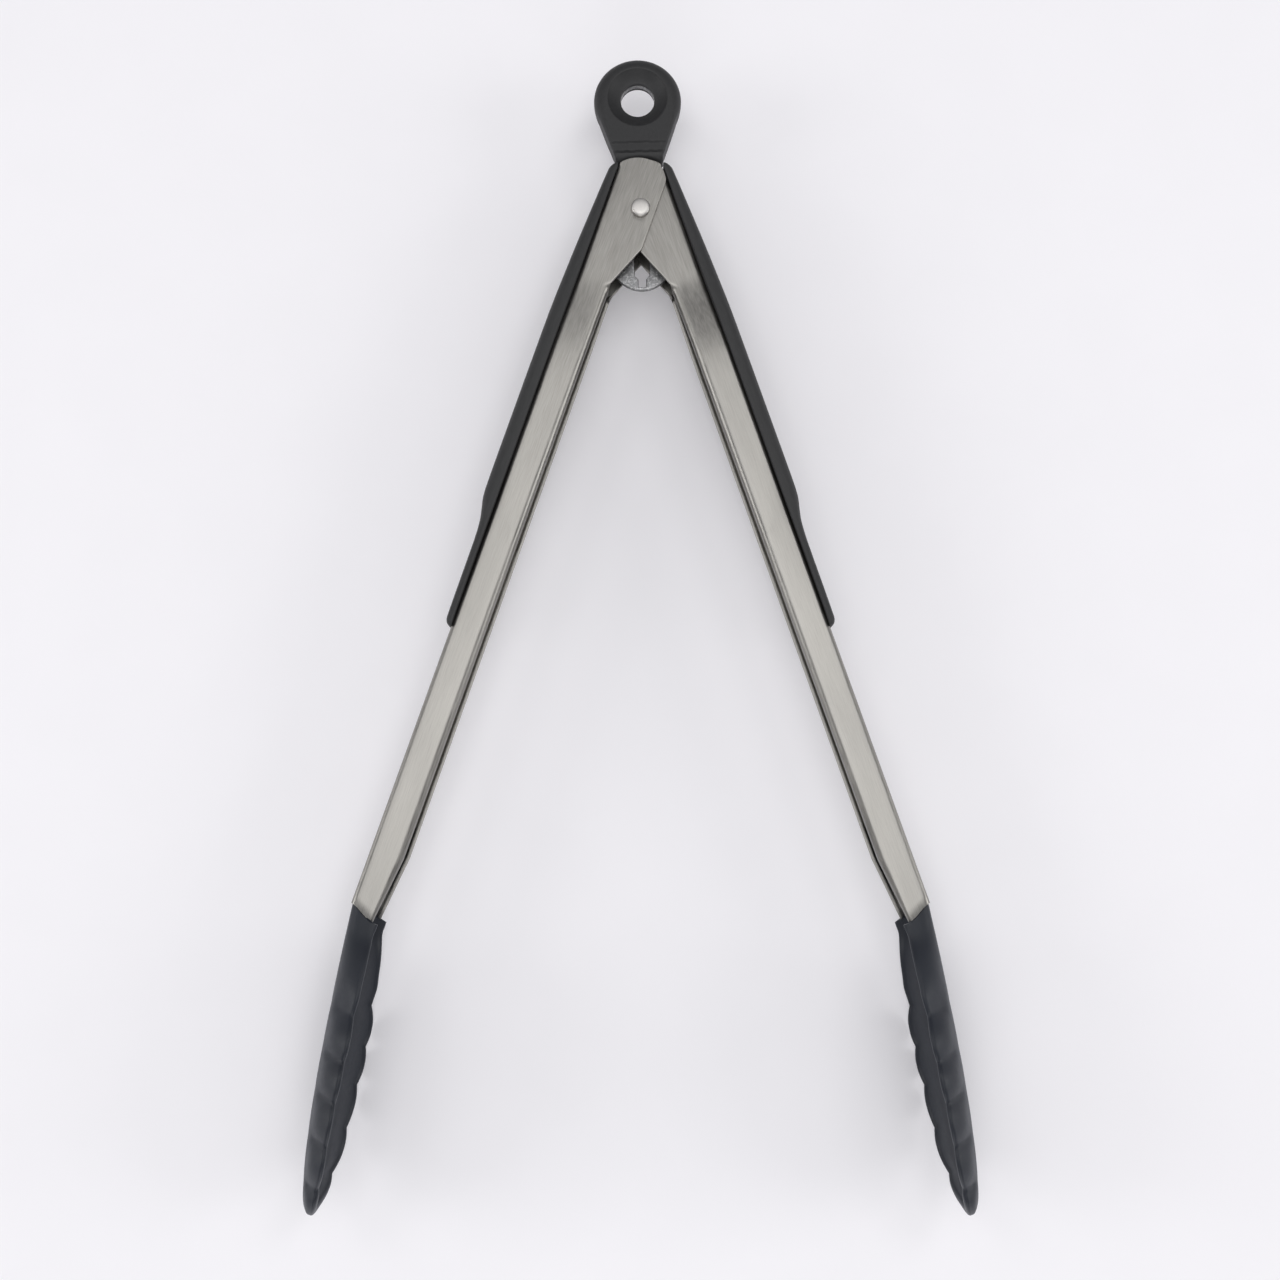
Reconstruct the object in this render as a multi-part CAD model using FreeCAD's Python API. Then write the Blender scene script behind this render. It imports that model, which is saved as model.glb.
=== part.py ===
"""Spring-loaded kitchen tongs: two folded steel arms on one rivet, with a locking pull tab.

Everything is drawn about the pivot first. An arm is drawn in its closed pose, along -Y with its back
towards -X, then swung open; the right arm is the mirror of the left. The finished tongs lie on their
side: the hinge axis is +Z, +Y points to the pull tab, and the origin is under the middle of the box.
"""
import FreeCAD, Part
import os
from math import asin, atan2, cos, degrees, hypot, radians, sin

from FreeCAD import Vector

# Pose and frame (millimetres and degrees)
OPEN_ANGLE = 19.25            # each arm from the centre line when the springs hold the tongs open
TAB_LEAN = 1.5                # the plate hangs this far out of line in the play of its slot
PIVOT_Y = 119.55              # pivot above the middle of the open tongs' length
MID_Z = 20.0                  # mid-plane above the surface that the tongs lie on

# Sheet-steel arms
SHEET = 1.0                   # thickness of the steel
BACK = 10.4                   # pivot to the outer face of an arm's back
ARM_END = 215.0               # pivot to the lower end of the steel
ARM_HALF = 8.0                # half the width of an arm, in depth
LIP_EDGE = -0.75              # where the curled lips end, across the arm
CORNER_R = 1.8                # outside radius of the fold between back and wall
CURL_R = 2.0                  # outside radius of the curled lip
LEFT_EAR_HALF = 6.8           # outer faces of the left arm's ears
EAR_GAP = 0.1                 # running gap between the nested ears
RIGHT_EAR_HALF = LEFT_EAR_HALF - SHEET - EAR_GAP
EAR_FRONT = 4.3               # inner edge of the ears
EAR_APEX = -11.4              # where the ear's edge turns back towards the arm
EAR_FOOT = -23.4              # where the curled lip begins
EAR_TOP_X, EAR_TOP_Y, EAR_TOP_R = -2.7, 4.6, 9.9
BACK_TOP = 3.2                # the back stops here, the ears go on
ARM_FULL_WIDTH_AT = -48.0     # the channel reaches its full width here
TAPER_START = -199.0          # the lips slope away to the head from here

# Pivot
RIVET_R = 2.0
RIVET_PLAY = 0.06
RIVET_HEAD_R = 2.75
RIVET_HEAD_H = 1.4
BUSH_R = 2.9
WIRE = 1.0                    # spring wire diameter
COIL_R = 3.65                 # mean radius of the coil
COIL_PITCH = 1.345              # between the middles of two turns
JOG_ANGLE = 36.0              # part of a turn in which the wire climbs to the next one
LEG_REACH = 27.0              # how far down the arm a spring leg reaches

# Lock plate and pull tab
PLATE_HALF = 0.8              # half the thickness of the plate
DISC_Y = -13.4                # middle of the plate's round lower end, tongs open
DISC_R = 9.0
NECK_HALF = 5.7               # the open arms' backs stop a little short of this
NECK_TOP = 10.5
STEM_HALF = 5.2               # the part of the plate inside the tab
SLOT_HALF = 2.15
RELIEF_HALF = 1.15
RELIEF_END = -21.4
TAB_HOLE_Y = 34.5
TAB_R = 12.4
TAB_BASE_HALF = 7.1
TAB_BASE_Y = 17.2
TAB_ARC_R = 16.3              # hollow of the tab's lower edge, about the pivot
TAB_HALF = 4.4                # half the thickness of the tab
HANG_HOLE_R = 4.85
COVER_HOLE_R = 5.4
DISH_R = 8.7
PLATE_RING_R = 8.4
CORE_HALF = 2.8

# Grips
GRIP_HALF = 9.8
GRIP_LIP = 0.9                # how far the grip's edges wrap down the arm's walls
CARRIER_T = 1.2
CARRIER_HALF = 6.0
CARRIER_TOP, CARRIER_END = 3.0, -92.0
STUD_R = 2.0
STUD_Y = (-44.0, -84.0)
STUD_HEAD_R = 3.0

# Heads
TANG_TOP = -190.0
TANG_HALF = 6.2
TANG_T = 3.0
TIP_RIVET_Y = -203.0
TIP_RIVET_R = 1.5
HEAD_SHELL = 3.2              # silicone, core and silicone together
CORE_SHELL = 1.3
CORE_MARGIN = 4.6             # the blade stops this far inside the scalloped rim


# ---------------------------------------------------------------- drawing helpers
def flat(x, y):
    """A point of a plan outline."""
    return Vector(x, y, 0.0)


def side_on(y, z):
    """A point of an outline seen along X."""
    return Vector(0.0, y, z)


def face(place, start, steps):
    """A face whose edge runs from start through the steps: one point is a line, two are an arc."""
    here = place(*start)
    edges = []
    for step in steps:
        points = [place(*point) for point in step]
        if len(points) == 1:
            edges.append(Part.LineSegment(here, points[0]).toShape())
        else:
            edges.append(Part.Arc(here, points[0], points[1]).toShape())
        here = points[-1]
    return Part.Face(Part.Wire(edges))


def wire(place, start, steps):
    """The closed edge of a face, for lofts."""
    return face(place, start, steps).OuterWire


def slab(outline, low, high):
    """A plan outline made solid between two depths."""
    outline.translate(Vector(0, 0, low))
    return outline.extrude(Vector(0, 0, high - low))


def box(low, high):
    """A block between two corners."""
    size = Vector(*high) - Vector(*low)
    return Part.makeBox(size.x, size.y, size.z, Vector(*low))


def rod(radius, start, end):
    """A round rod between two points."""
    start, end = Vector(*start), Vector(*end)
    return Part.makeCylinder(radius, (end - start).Length, start, end - start)


def on_circle(centre, radius, angle):
    """A plan point on a circle, the angle in degrees."""
    return centre[0] + radius * cos(radians(angle)), centre[1] + radius * sin(radians(angle))


def turned(x, y, angle):
    """A plan point turned about the pivot."""
    return (x * cos(radians(angle)) - y * sin(radians(angle)),
            x * sin(radians(angle)) + y * cos(radians(angle)))


def mirrored(shape):
    """The same piece for the other arm."""
    return shape.mirror(Vector(0, 0, 0), Vector(1, 0, 0))


# ---------------------------------------------------------------- arms
def quarter(centre, radius, start):
    """Middle and end of a quarter arc that turns clockwise from a start angle."""
    return (on_circle(centre, radius, start - 45), on_circle(centre, radius, start - 90))


def channel_section(y, half, edge, curl):
    """The folded sheet's section at one place along the arm, with its lips curled in."""
    corner = (-BACK + CORNER_R, half - CORNER_R)
    lip = (edge - curl, half - curl)
    upper = [
        quarter(corner, CORNER_R, 180),
        [(lip[0], half)],
        quarter(lip, curl, 90),
        [(edge - SHEET, half - curl)],
    ]
    inner_lip = (on_circle(lip, curl - SHEET, 45), on_circle(lip, curl - SHEET, 90))
    inner_corner = (on_circle(corner, CORNER_R - SHEET, 135), on_circle(corner, CORNER_R - SHEET, 180))
    upper += [inner_lip, [(corner[0], half - SHEET)], inner_corner]
    lower = [[(-BACK + SHEET, -corner[1])]]
    lower += [mirror_step(step) for step in reversed_steps((-BACK, corner[1]), upper)]
    return wire(lambda x, z: Vector(x, y, z), (-BACK, corner[1]), upper + lower + [[(-BACK, corner[1])]])


def reversed_steps(start, steps):
    """The same run of lines and arcs walked from its far end back to its start."""
    ends = [start] + [step[-1] for step in steps]
    return [list(step[:-1]) + [ends[number]] for number, step in reversed(list(enumerate(steps)))]


def mirror_step(step):
    """One step of a section mirrored in the mid-plane."""
    return [(x, -z) for x, z in step]


def arm_envelope():
    """The solid space inside an arm's outer faces, a little wider at the top to let the ears swing."""
    sections = []
    for y, half, fold in ((15.0, LEFT_EAR_HALF + 0.35, 0.3), (-1.0, LEFT_EAR_HALF + 0.35, 0.3),
                          (EAR_FOOT, LEFT_EAR_HALF, CORNER_R), (ARM_FULL_WIDTH_AT, ARM_HALF, CORNER_R),
                          (-ARM_END, ARM_HALF, CORNER_R)):
        corner = (-BACK + fold, half - fold)
        low = (corner[0], -corner[1])
        sections.append(wire(lambda x, z, y=y: Vector(x, y, z), (0, -half), [
            [(0, half)], [(corner[0], half)],
            [on_circle(corner, fold, 135), (-BACK, corner[1])],
            [(-BACK, low[1])],
            [on_circle(low, fold, 225), (corner[0], -half)], [(0, -half)]]))
    return Part.makeLoft(sections, True, True)


def ear_outline():
    """The ear and the wall below it, seen along the hinge axis."""
    top = (EAR_TOP_X, EAR_TOP_Y)
    right = on_circle(top, EAR_TOP_R, 58)
    left = on_circle(top, EAR_TOP_R, 141)
    return face(flat, (-BACK, EAR_FOOT - 3), [
        [(LIP_EDGE, EAR_FOOT - 3)], [(LIP_EDGE, EAR_FOOT)],
        [(EAR_FRONT - 0.4, EAR_APEX - 0.9)],
        [(EAR_FRONT - 0.06, EAR_APEX - 0.2), (EAR_FRONT, EAR_APEX + 0.6)],
        [(EAR_FRONT, 8.8)],
        [(EAR_FRONT - 0.4, 11.1), right],
        [on_circle(top, EAR_TOP_R, 95), left],
        [(-BACK, left[1] - 1.6)], [(-BACK, EAR_FOOT - 3)]])


def hinge_end(ear_half):
    """The flat ears and the strip of back that joins them."""
    inner = ear_half - SHEET
    corner = (-BACK + CORNER_R, ear_half - CORNER_R)
    low = (corner[0], -corner[1])
    section = face(lambda x, z: Vector(x, EAR_FOOT - 3, z), (8, ear_half), [
        [(corner[0], ear_half)],
        [on_circle(corner, CORNER_R, 135), (-BACK, corner[1])],
        [(-BACK, low[1])],
        [on_circle(low, CORNER_R, 225), (corner[0], -ear_half)],
        [(8, -ear_half)], [(8, -inner)], [(corner[0], -inner)],
        [on_circle(low, CORNER_R - SHEET, 225), (-BACK + SHEET, low[1])],
        [(-BACK + SHEET, corner[1])],
        [on_circle(corner, CORNER_R - SHEET, 135), (corner[0], inner)],
        [(8, inner)], [(8, ear_half)]])
    folded = section.extrude(Vector(0, 45, 0))
    ears = folded.common(slab(ear_outline(), -ear_half - 1, ear_half + 1))
    ears = ears.cut(box((-BACK - 1, BACK_TOP, -inner), (-BACK + CORNER_R + 1, 20, inner)))
    return ears


def arm(ear_half):
    """One folded steel arm, closed, its back towards -X."""
    curl_end = SHEET + 0.1
    stations = [(EAR_FOOT, ear_half, LIP_EDGE, CURL_R), (ARM_FULL_WIDTH_AT, ARM_HALF, LIP_EDGE, CURL_R),
                (TAPER_START, ARM_HALF, LIP_EDGE, CURL_R), (-ARM_END, ARM_HALF, LIP_EDGE - 2.1, curl_end)]
    channel = Part.makeLoft([channel_section(*station) for station in stations], True, True)
    steel = hinge_end(ear_half).fuse(channel)
    steel = steel.cut(rod(RIVET_R + RIVET_PLAY, (0, 0, -10), (0, 0, 10)))
    for y in STUD_Y:
        steel = steel.cut(rod(STUD_R, (-BACK - 1, y, 0), (-BACK + 2, y, 0)))
    steel = steel.cut(rod(TIP_RIVET_R, (-BACK - 1, TIP_RIVET_Y, 0), (-BACK + 2, TIP_RIVET_Y, 0)))
    return steel.removeSplitter()


# ---------------------------------------------------------------- pivot
def dome(radius, height, at, axis):
    """A low rivet head: a slice of a sphere standing on its flat side."""
    sphere_r = (radius * radius + height * height) / (2 * height)
    base = Vector(*at)
    axis = Vector(*axis)
    ball = Part.makeSphere(sphere_r, base - axis * (sphere_r - height))
    return ball.common(Part.makeCylinder(radius + 1, height + 1, base, axis))


def pivot_rivet():
    """The rivet, formed over at both ends."""
    seat = LEFT_EAR_HALF + 0.05
    shank = rod(RIVET_R, (0, 0, -seat), (0, 0, seat))
    heads = [dome(RIVET_HEAD_R, RIVET_HEAD_H, (0, 0, side * seat), (0, 0, side)) for side in (1, -1)]
    return shank.multiFuse(heads)


def spring_bush():
    """A sleeve round the rivet that keeps the front ears off the sliding plate."""
    low, high = PLATE_HALF + 0.1, RIGHT_EAR_HALF - SHEET - 0.05
    return rod(BUSH_R, (0, 0, low), (0, 0, high)).cut(rod(RIVET_R + 0.02, (0, 0, low), (0, 0, high)))


def torsion_spring(front):
    """A spring in front of the plate or behind it: three turns and two straight legs against the backs.

    Each turn lies flat, with a short jog up to the next one.
    """
    foot = (-BACK + SHEET + WIRE / 2 + 0.1, -LEG_REACH)
    foot = turned(foot[0], foot[1], -OPEN_ANGLE)
    reach = hypot(*foot)
    start = degrees(atan2(foot[1], foot[0]) - asin(1) + asin(COIL_R / reach)) % 360
    turn = (2 * (start - 90) % 360 + 720 - 2 * JOG_ANGLE) / 3
    clear = PLATE_HALF + 0.1 + WIRE / 2
    low = clear if front else -clear - 2 * COIL_PITCH
    high = low + 2 * COIL_PITCH
    pieces = [rod(WIRE / 2, (*on_circle((0, 0), COIL_R, start), low), (*foot, low)),
              rod(WIRE / 2, (*on_circle((0, 0), COIL_R, 180 - start), high), (-foot[0], foot[1], high))]
    for number in range(3):
        end = start - number * (turn + JOG_ANGLE) - turn
        level = low + number * COIL_PITCH
        ring = Part.makeTorus(COIL_R, WIRE / 2, Vector(0, 0, level), Vector(0, 0, 1), -180, 180, turn)
        ring.rotate(Vector(0, 0, 0), Vector(0, 0, 1), end)
        pieces.append(ring)
        if number < 2:
            leave = (*on_circle((0, 0), COIL_R, end), level)
            join = (*on_circle((0, 0), COIL_R, end - JOG_ANGLE), level + COIL_PITCH)
            pieces.append(rod(WIRE / 2, leave, join))
            pieces += [Part.makeSphere(WIRE / 2 + 0.04, Vector(*place)) for place in (leave, join)]
    return pieces[0].multiFuse(pieces[1:])


# ---------------------------------------------------------------- lock plate and pull tab
def lock_plate():
    """The sliding steel plate, tongs open: stem and hang ring above, slot and round end below."""
    disc = (0, DISC_Y)
    join = DISC_Y + (DISC_R ** 2 - NECK_HALF ** 2) ** 0.5
    ring_low = TAB_HOLE_Y - (PLATE_RING_R ** 2 - STEM_HALF ** 2) ** 0.5
    outline = face(flat, (NECK_HALF, join), [
        [(NECK_HALF, NECK_TOP)], [(STEM_HALF, NECK_TOP + 2)], [(STEM_HALF, ring_low)],
        [(0, TAB_HOLE_Y + PLATE_RING_R), (-STEM_HALF, ring_low)],
        [(-STEM_HALF, NECK_TOP + 2)], [(-NECK_HALF, NECK_TOP)], [(-NECK_HALF, join)],
        [(0, DISC_Y - DISC_R), (NECK_HALF, join)]])
    shoulder = disc[1] - 4.6
    slot = face(flat, (SLOT_HALF, 0.15), [
        [(0, 0.15 + SLOT_HALF), (-SLOT_HALF, 0.15)], [(-SLOT_HALF, shoulder)],
        [(-RELIEF_HALF, shoulder - 1.1)], [(-RELIEF_HALF, RELIEF_END)],
        [(RELIEF_HALF, RELIEF_END)], [(RELIEF_HALF, shoulder - 1.1)],
        [(SLOT_HALF, shoulder)], [(SLOT_HALF, 0.15)]])
    plate = slab(outline, -PLATE_HALF, PLATE_HALF).cut(slab(slot, -2, 2))
    return plate.cut(rod(HANG_HOLE_R, (0, TAB_HOLE_Y, -2), (0, TAB_HOLE_Y, 2)))


def tab_outline(inset=0.0):
    """The tab seen face on: a round head, straight tapering sides and a hollow lower edge."""
    radius = TAB_R - inset
    half = TAB_BASE_HALF - inset
    centre = (0, TAB_HOLE_Y)
    drop = TAB_HOLE_Y - TAB_BASE_Y
    lean = degrees(atan2(half, drop) + asin(radius / hypot(half, drop))) - 90
    side = on_circle(centre, radius, lean)
    horn = half - 1.0
    horn_y = (TAB_ARC_R ** 2 - horn ** 2) ** 0.5
    return face(flat, side, [
        [(0, TAB_HOLE_Y + radius), (-side[0], side[1])], [(-half, TAB_BASE_Y)],
        [(-half + 0.15, horn_y + 0.2), (-horn, horn_y)],
        [(0, TAB_ARC_R), (horn, horn_y)],
        [(half - 0.15, horn_y + 0.2), (half, TAB_BASE_Y)], [side]])


def dish_cutter():
    """The hollow round the hang hole, front and back."""
    waist = 0.9
    profile = face(lambda x, z: Vector(x, 0, z), (0, -TAB_HALF - 1), [
        [(DISH_R, -TAB_HALF - 1)], [(DISH_R, -TAB_HALF)],
        [(COVER_HOLE_R + 1.4, -TAB_HALF + 2.4), (COVER_HOLE_R, -waist)], [(COVER_HOLE_R, waist)],
        [(COVER_HOLE_R + 1.4, TAB_HALF - 2.4), (DISH_R, TAB_HALF)], [(DISH_R, TAB_HALF + 1)],
        [(0, TAB_HALF + 1)], [(0, -TAB_HALF - 1)]])
    cutter = profile.revolve(Vector(0, 0, 0), Vector(0, 0, 1), 360)
    cutter.translate(Vector(0, TAB_HOLE_Y, 0))
    return cutter


def tab_core():
    """The hard insert between the plate's stem and the soft cover."""
    top = TAB_HOLE_Y - 5
    block = slab(face(flat, (-4.9, TAB_BASE_Y + 1.5), [
        [(4.9, TAB_BASE_Y + 1.5)], [(7.4, top)], [(-7.4, top)], [(-4.9, TAB_BASE_Y + 1.5)]]),
        -CORE_HALF, CORE_HALF)
    block = block.cut(rod(DISH_R + 0.9, (0, TAB_HOLE_Y, -6), (0, TAB_HOLE_Y, 6)))
    return block.cut(lock_plate())


def tab_cover():
    """The soft pull tab moulded round the plate and its insert."""
    body = slab(tab_outline(), -TAB_HALF, TAB_HALF)
    rim = [edge for edge in body.Edges
           if abs(abs(edge.CenterOfMass.z) - TAB_HALF) < 0.01 and edge.CenterOfMass.y > TAB_BASE_Y]
    body = body.makeFillet(1.2, rim)
    return body.cut(dish_cutter()).cut(lock_plate()).cut(tab_core())


# ---------------------------------------------------------------- grips
GRIP_STATIONS = (             # along the arm, outer face, half width
    (10.4, -11.6, 6.6), (9.0, -12.6, 8.0), (-3.3, -13.4, 8.6), (-19.5, -14.7, 9.1), (-40.0, -15.1, GRIP_HALF),
    (-93.0, -15.0, GRIP_HALF), (-96.0, -14.6, GRIP_HALF), (-101.0, -13.3, GRIP_HALF),
    (-107.0, -12.8, GRIP_HALF), (-128.0, -12.7, GRIP_HALF), (-131.5, -12.1, 9.2), (-132.8, -11.3, 8.4))


def grip_section(y, outer, half):
    """A crowned section with rounded shoulders, open edges wrapped over the arm's corners."""
    low = -BACK + GRIP_LIP
    crown = 0.5
    round_r = min(2.6, low - outer - crown - 0.1)
    shoulder = outer + crown
    upper = (shoulder + round_r, half - round_r)
    lower = (upper[0], -upper[1])
    return wire(lambda x, z: Vector(x, y, z), (low, half), [
        [(upper[0], half)], [on_circle(upper, round_r, 135), (shoulder, upper[1])],
        [(outer, 0), (shoulder, lower[1])], [on_circle(lower, round_r, 225), (upper[0], -half)],
        [(low, -half)], [(low, half)]])


def grip_carrier():
    """The hard base of a grip, with two studs formed over inside the channel."""
    plate = box((-BACK - CARRIER_T, CARRIER_END, -CARRIER_HALF), (-BACK, CARRIER_TOP, CARRIER_HALF))
    studs = []
    for y in STUD_Y:
        studs.append(rod(STUD_R, (-BACK - 0.5, y, 0), (-BACK + SHEET, y, 0)))
        studs.append(dome(STUD_HEAD_R, 1.3, (-BACK + SHEET, y, 0), (1, 0, 0)))
    return plate.multiFuse(studs)


def grip_cover():
    """The soft outside of a grip, with its finger stop and thin apron."""
    body = Part.makeLoft([grip_section(*station) for station in GRIP_STATIONS], True, True)
    return body.cut(arm_envelope()).cut(grip_carrier())


# ---------------------------------------------------------------- heads
HEAD_STATIONS = (             # along the arm, back, rim, half width, how square the hollow is
    (-215.0, -10.4, -2.8, 8.6, 7.0), (-221.0, -9.7, -2.6, 9.6, 5.0), (-229.0, -8.7, -0.6, 13.2, 3.4),
    (-238.0, -7.4, 1.3, 16.6, 2.8), (-249.0, -5.7, 3.6, 18.9, 2.5), (-260.5, -3.8, 5.4, 20.0, 2.4),
    (-272.0, -1.7, 7.1, 18.9, 2.4), (-283.0, 0.6, 8.5, 16.0, 2.4), (-291.0, 2.6, 9.0, 12.6, 2.4),
    (-296.5, 4.3, 8.9, 8.9, 2.4), (-300.0, 6.0, 8.4, 4.2, 2.4))
SCALLOPS = (                  # valley to valley: where it ends, how far out, how far out at its crest
    (-243.0, 16.0, -231.0, 14.4), (-255.0, 18.3, -249.5, 19.1), (-266.0, 18.0, -260.5, 20.0),
    (-278.0, 16.0, -272.0, 18.7), (-291.0, 10.8, -285.0, 15.3))


def trough_section(y, back, rim, half, square, inset, lift):
    """A trough's section, this far in from the head's skin, closed across its top."""
    depth, steps = rim - back, 6
    slope = depth * square / half
    reach = half - inset * hypot(1, slope) / slope
    low = back + inset
    points = []
    for number in range(-steps, steps + 1):
        share = number / steps
        points.append(Vector(low + (rim - low) * abs(share) ** square, y, reach * share))
    curve = Part.BSplineCurve()
    curve.interpolate(points)
    right, left = points[-1], points[0]
    top = [right, right + Vector(lift, 0, 0), left + Vector(lift, 0, 0), left]
    lines = [Part.LineSegment(start, end).toShape() for start, end in zip(top, top[1:])
             if (end - start).Length > 0]
    return Part.Wire([curve.toShape()] + lines)


def trough(inset, stations, lift):
    """The solid that fills a head's hollow up to its rims, and past them by the lift."""
    return Part.makeLoft([trough_section(*station, inset, lift) for station in stations], True, True)


def scoop(thick, inset):
    """A shell of one thickness that follows the head, with a closed end."""
    return trough(inset, HEAD_STATIONS, 0.0).cut(trough(inset + thick, HEAD_STATIONS[:-1], 5.0))


def scalloped_outline(inset=0.0):
    """The head seen from inside the tongs: five scallops a side and a round end."""
    tip_y = -300.2 + inset
    upper = []
    for end_y, end_z, crest_y, crest_z in SCALLOPS:
        upper.append([(crest_y, crest_z - inset), (end_y, end_z - inset)])
    upper.append([(-297.6 + inset, 7.4 - inset), (tip_y, 0)])
    start = (-214.0, 8.8 - inset)
    lower = [mirror_step(step) for step in reversed_steps(start, upper)]
    return face(side_on, start, upper + lower + [[start]])


def across(outline):
    """An outline seen along X made solid right through the head."""
    outline.translate(Vector(-20, 0, 0))
    return outline.extrude(Vector(40, 0, 0))


def tip_core():
    """The stiff blade inside a head and the tang that fills the end of the channel."""
    blade = scoop(CORE_SHELL, (HEAD_SHELL - CORE_SHELL) / 2)
    blade = blade.common(across(scalloped_outline(CORE_MARGIN)))
    tang = box((-BACK + SHEET, -ARM_END - 4, -TANG_HALF), (-BACK + SHEET + TANG_T, TANG_TOP, TANG_HALF))
    core = blade.fuse(tang)
    return core.cut(rod(TIP_RIVET_R, (-BACK, TIP_RIVET_Y, 0), (-BACK + SHEET + 2.2, TIP_RIVET_Y, 0)))


def tip_cover():
    """The silicone scoop with its scalloped rim."""
    body = scoop(HEAD_SHELL, 0.0).common(across(scalloped_outline()))
    return body.cut(tip_core())


def tip_rivet():
    """The rivet that holds a head's tang to the arm's back."""
    shank = rod(TIP_RIVET_R, (-BACK, TIP_RIVET_Y, 0), (-BACK + SHEET + 2.0, TIP_RIVET_Y, 0))
    return shank.fuse(dome(2.6, 0.8, (-BACK, TIP_RIVET_Y, 0), (-1, 0, 0)))


# ---------------------------------------------------------------- the whole tongs
def opened(shape, side):
    """A piece of the left (-1) or right (1) arm, drawn closed as the left one, swung open."""
    if side > 0:
        shape = mirrored(shape)
    shape.rotate(Vector(0, 0, 0), Vector(0, 0, 1), side * OPEN_ANGLE)
    return shape


def leaned(shape):
    """A piece of the slide, leaned in the play of its slot."""
    shape.rotate(Vector(0, 0, 0), Vector(0, 0, 1), TAB_LEAN)
    return shape


def turned_over(shape):
    """A front piece turned over about the tongs' length to lie behind the plate."""
    shape.rotate(Vector(0, 0, 0), Vector(0, 1, 0), 180)
    return shape


def pieces():
    """Every piece by name, about the pivot, with the tongs open."""
    named = {
        "pivot_rivet": pivot_rivet(),
        "spring_bush_front": spring_bush(),
        "spring_bush_back": turned_over(spring_bush()),
        "torsion_spring_front": torsion_spring(front=True),
        "torsion_spring_back": torsion_spring(front=False),
        "left_arm": opened(arm(LEFT_EAR_HALF), -1),
        "right_arm": opened(arm(RIGHT_EAR_HALF), 1),
        "lock_plate": leaned(lock_plate()),
        "tab_core": leaned(tab_core()),
        "tab_cover": leaned(tab_cover()),
    }
    for name, side in (("left", -1), ("right", 1)):
        named[name + "_grip_carrier"] = opened(grip_carrier(), side)
        named[name + "_grip_cover"] = opened(grip_cover(), side)
        named[name + "_tip_core"] = opened(tip_core(), side)
        named[name + "_tip_cover"] = opened(tip_cover(), side)
        named[name + "_tip_rivet"] = opened(tip_rivet(), side)
    return named


def main():
    """Move every piece into the tongs' own frame and write it out."""
    os.makedirs("parts", exist_ok=True)
    for name, shape in pieces().items():
        shape.translate(Vector(0, PIVOT_Y, MID_Z))
        shape.exportStep("parts/" + name + ".step")
        print(f"{name:22s} solids {len(shape.Solids)} valid {shape.isValid()} volume {shape.Volume:9.1f}")


main()
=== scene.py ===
"""Looks of a pair of spring-loaded kitchen tongs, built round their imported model.

An arm and everything on it is drawn in millimetres about the pivot, closed, as the left arm: along -Y
with its back towards -X. The placing functions swing it open, mirror it for the right arm and move it
to the pivot of the frame. The pull tab and its plate are drawn upright and leaned in the same way.
"""
import logging
from dataclasses import dataclass
from enum import Enum
from math import asin, atan2, cos, degrees, hypot, pi, radians, sin, sqrt
from typing import Callable, Iterable, Sequence

import bmesh
import bpy
from mathutils import Matrix, Vector


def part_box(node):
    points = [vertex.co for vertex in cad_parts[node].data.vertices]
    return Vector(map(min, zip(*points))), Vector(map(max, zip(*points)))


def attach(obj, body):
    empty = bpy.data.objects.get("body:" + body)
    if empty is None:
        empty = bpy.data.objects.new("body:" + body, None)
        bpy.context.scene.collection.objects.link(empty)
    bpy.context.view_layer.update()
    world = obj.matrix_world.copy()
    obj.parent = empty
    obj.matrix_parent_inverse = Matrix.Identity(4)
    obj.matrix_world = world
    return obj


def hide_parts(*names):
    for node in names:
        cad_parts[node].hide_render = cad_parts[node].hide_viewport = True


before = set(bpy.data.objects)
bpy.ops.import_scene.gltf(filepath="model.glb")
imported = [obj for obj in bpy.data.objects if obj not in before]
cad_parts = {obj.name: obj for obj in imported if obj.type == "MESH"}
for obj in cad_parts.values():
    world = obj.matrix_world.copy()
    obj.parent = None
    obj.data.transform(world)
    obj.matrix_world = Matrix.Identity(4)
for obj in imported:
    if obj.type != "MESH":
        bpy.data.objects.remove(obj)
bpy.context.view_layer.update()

LOG = logging.getLogger("tongs")

MM = 0.001
OPEN_ANGLE = 19.25            # each arm from the centre line
TAB_LEAN = 1.5                # the plate in the play of its slot

Flat = tuple[float, float]
Point = tuple[float, float, float]
Placing = Callable[[float, float, float], Vector]
WHITE: Point = (1.0, 1.0, 1.0)


class Side(Enum):
    """The two arms, by the sign of the side that they lie on."""

    LEFT = -1
    RIGHT = 1

    @property
    def word(self) -> str:
        """The side's word in the names of nodes and bodies."""
        return "left" if self is Side.LEFT else "right"

    @property
    def body(self) -> str:
        """The body that rides on this side's hinge."""
        return self.word + "_side"

    @property
    def turn(self) -> float:
        """The open arm's turn about the pivot, in degrees."""
        return self.value * OPEN_ANGLE


# ---------------------------------------------------------------- places
def pivot() -> Vector:
    """The middle of the rivet, which every piece is drawn about, in metres."""
    low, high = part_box("pivot_rivet")
    return (low + high) / 2


PIVOT = pivot()


def spun(x: float, y: float, angle: float) -> Flat:
    """A plan point turned about the pivot.

    Args:
        x: Across, in millimetres.
        y: Along, in millimetres.
        angle: Turn, anticlockwise, in degrees.

    Returns:
        The turned point.
    """
    c, s = cos(radians(angle)), sin(radians(angle))
    return x * c - y * s, x * s + y * c


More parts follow.
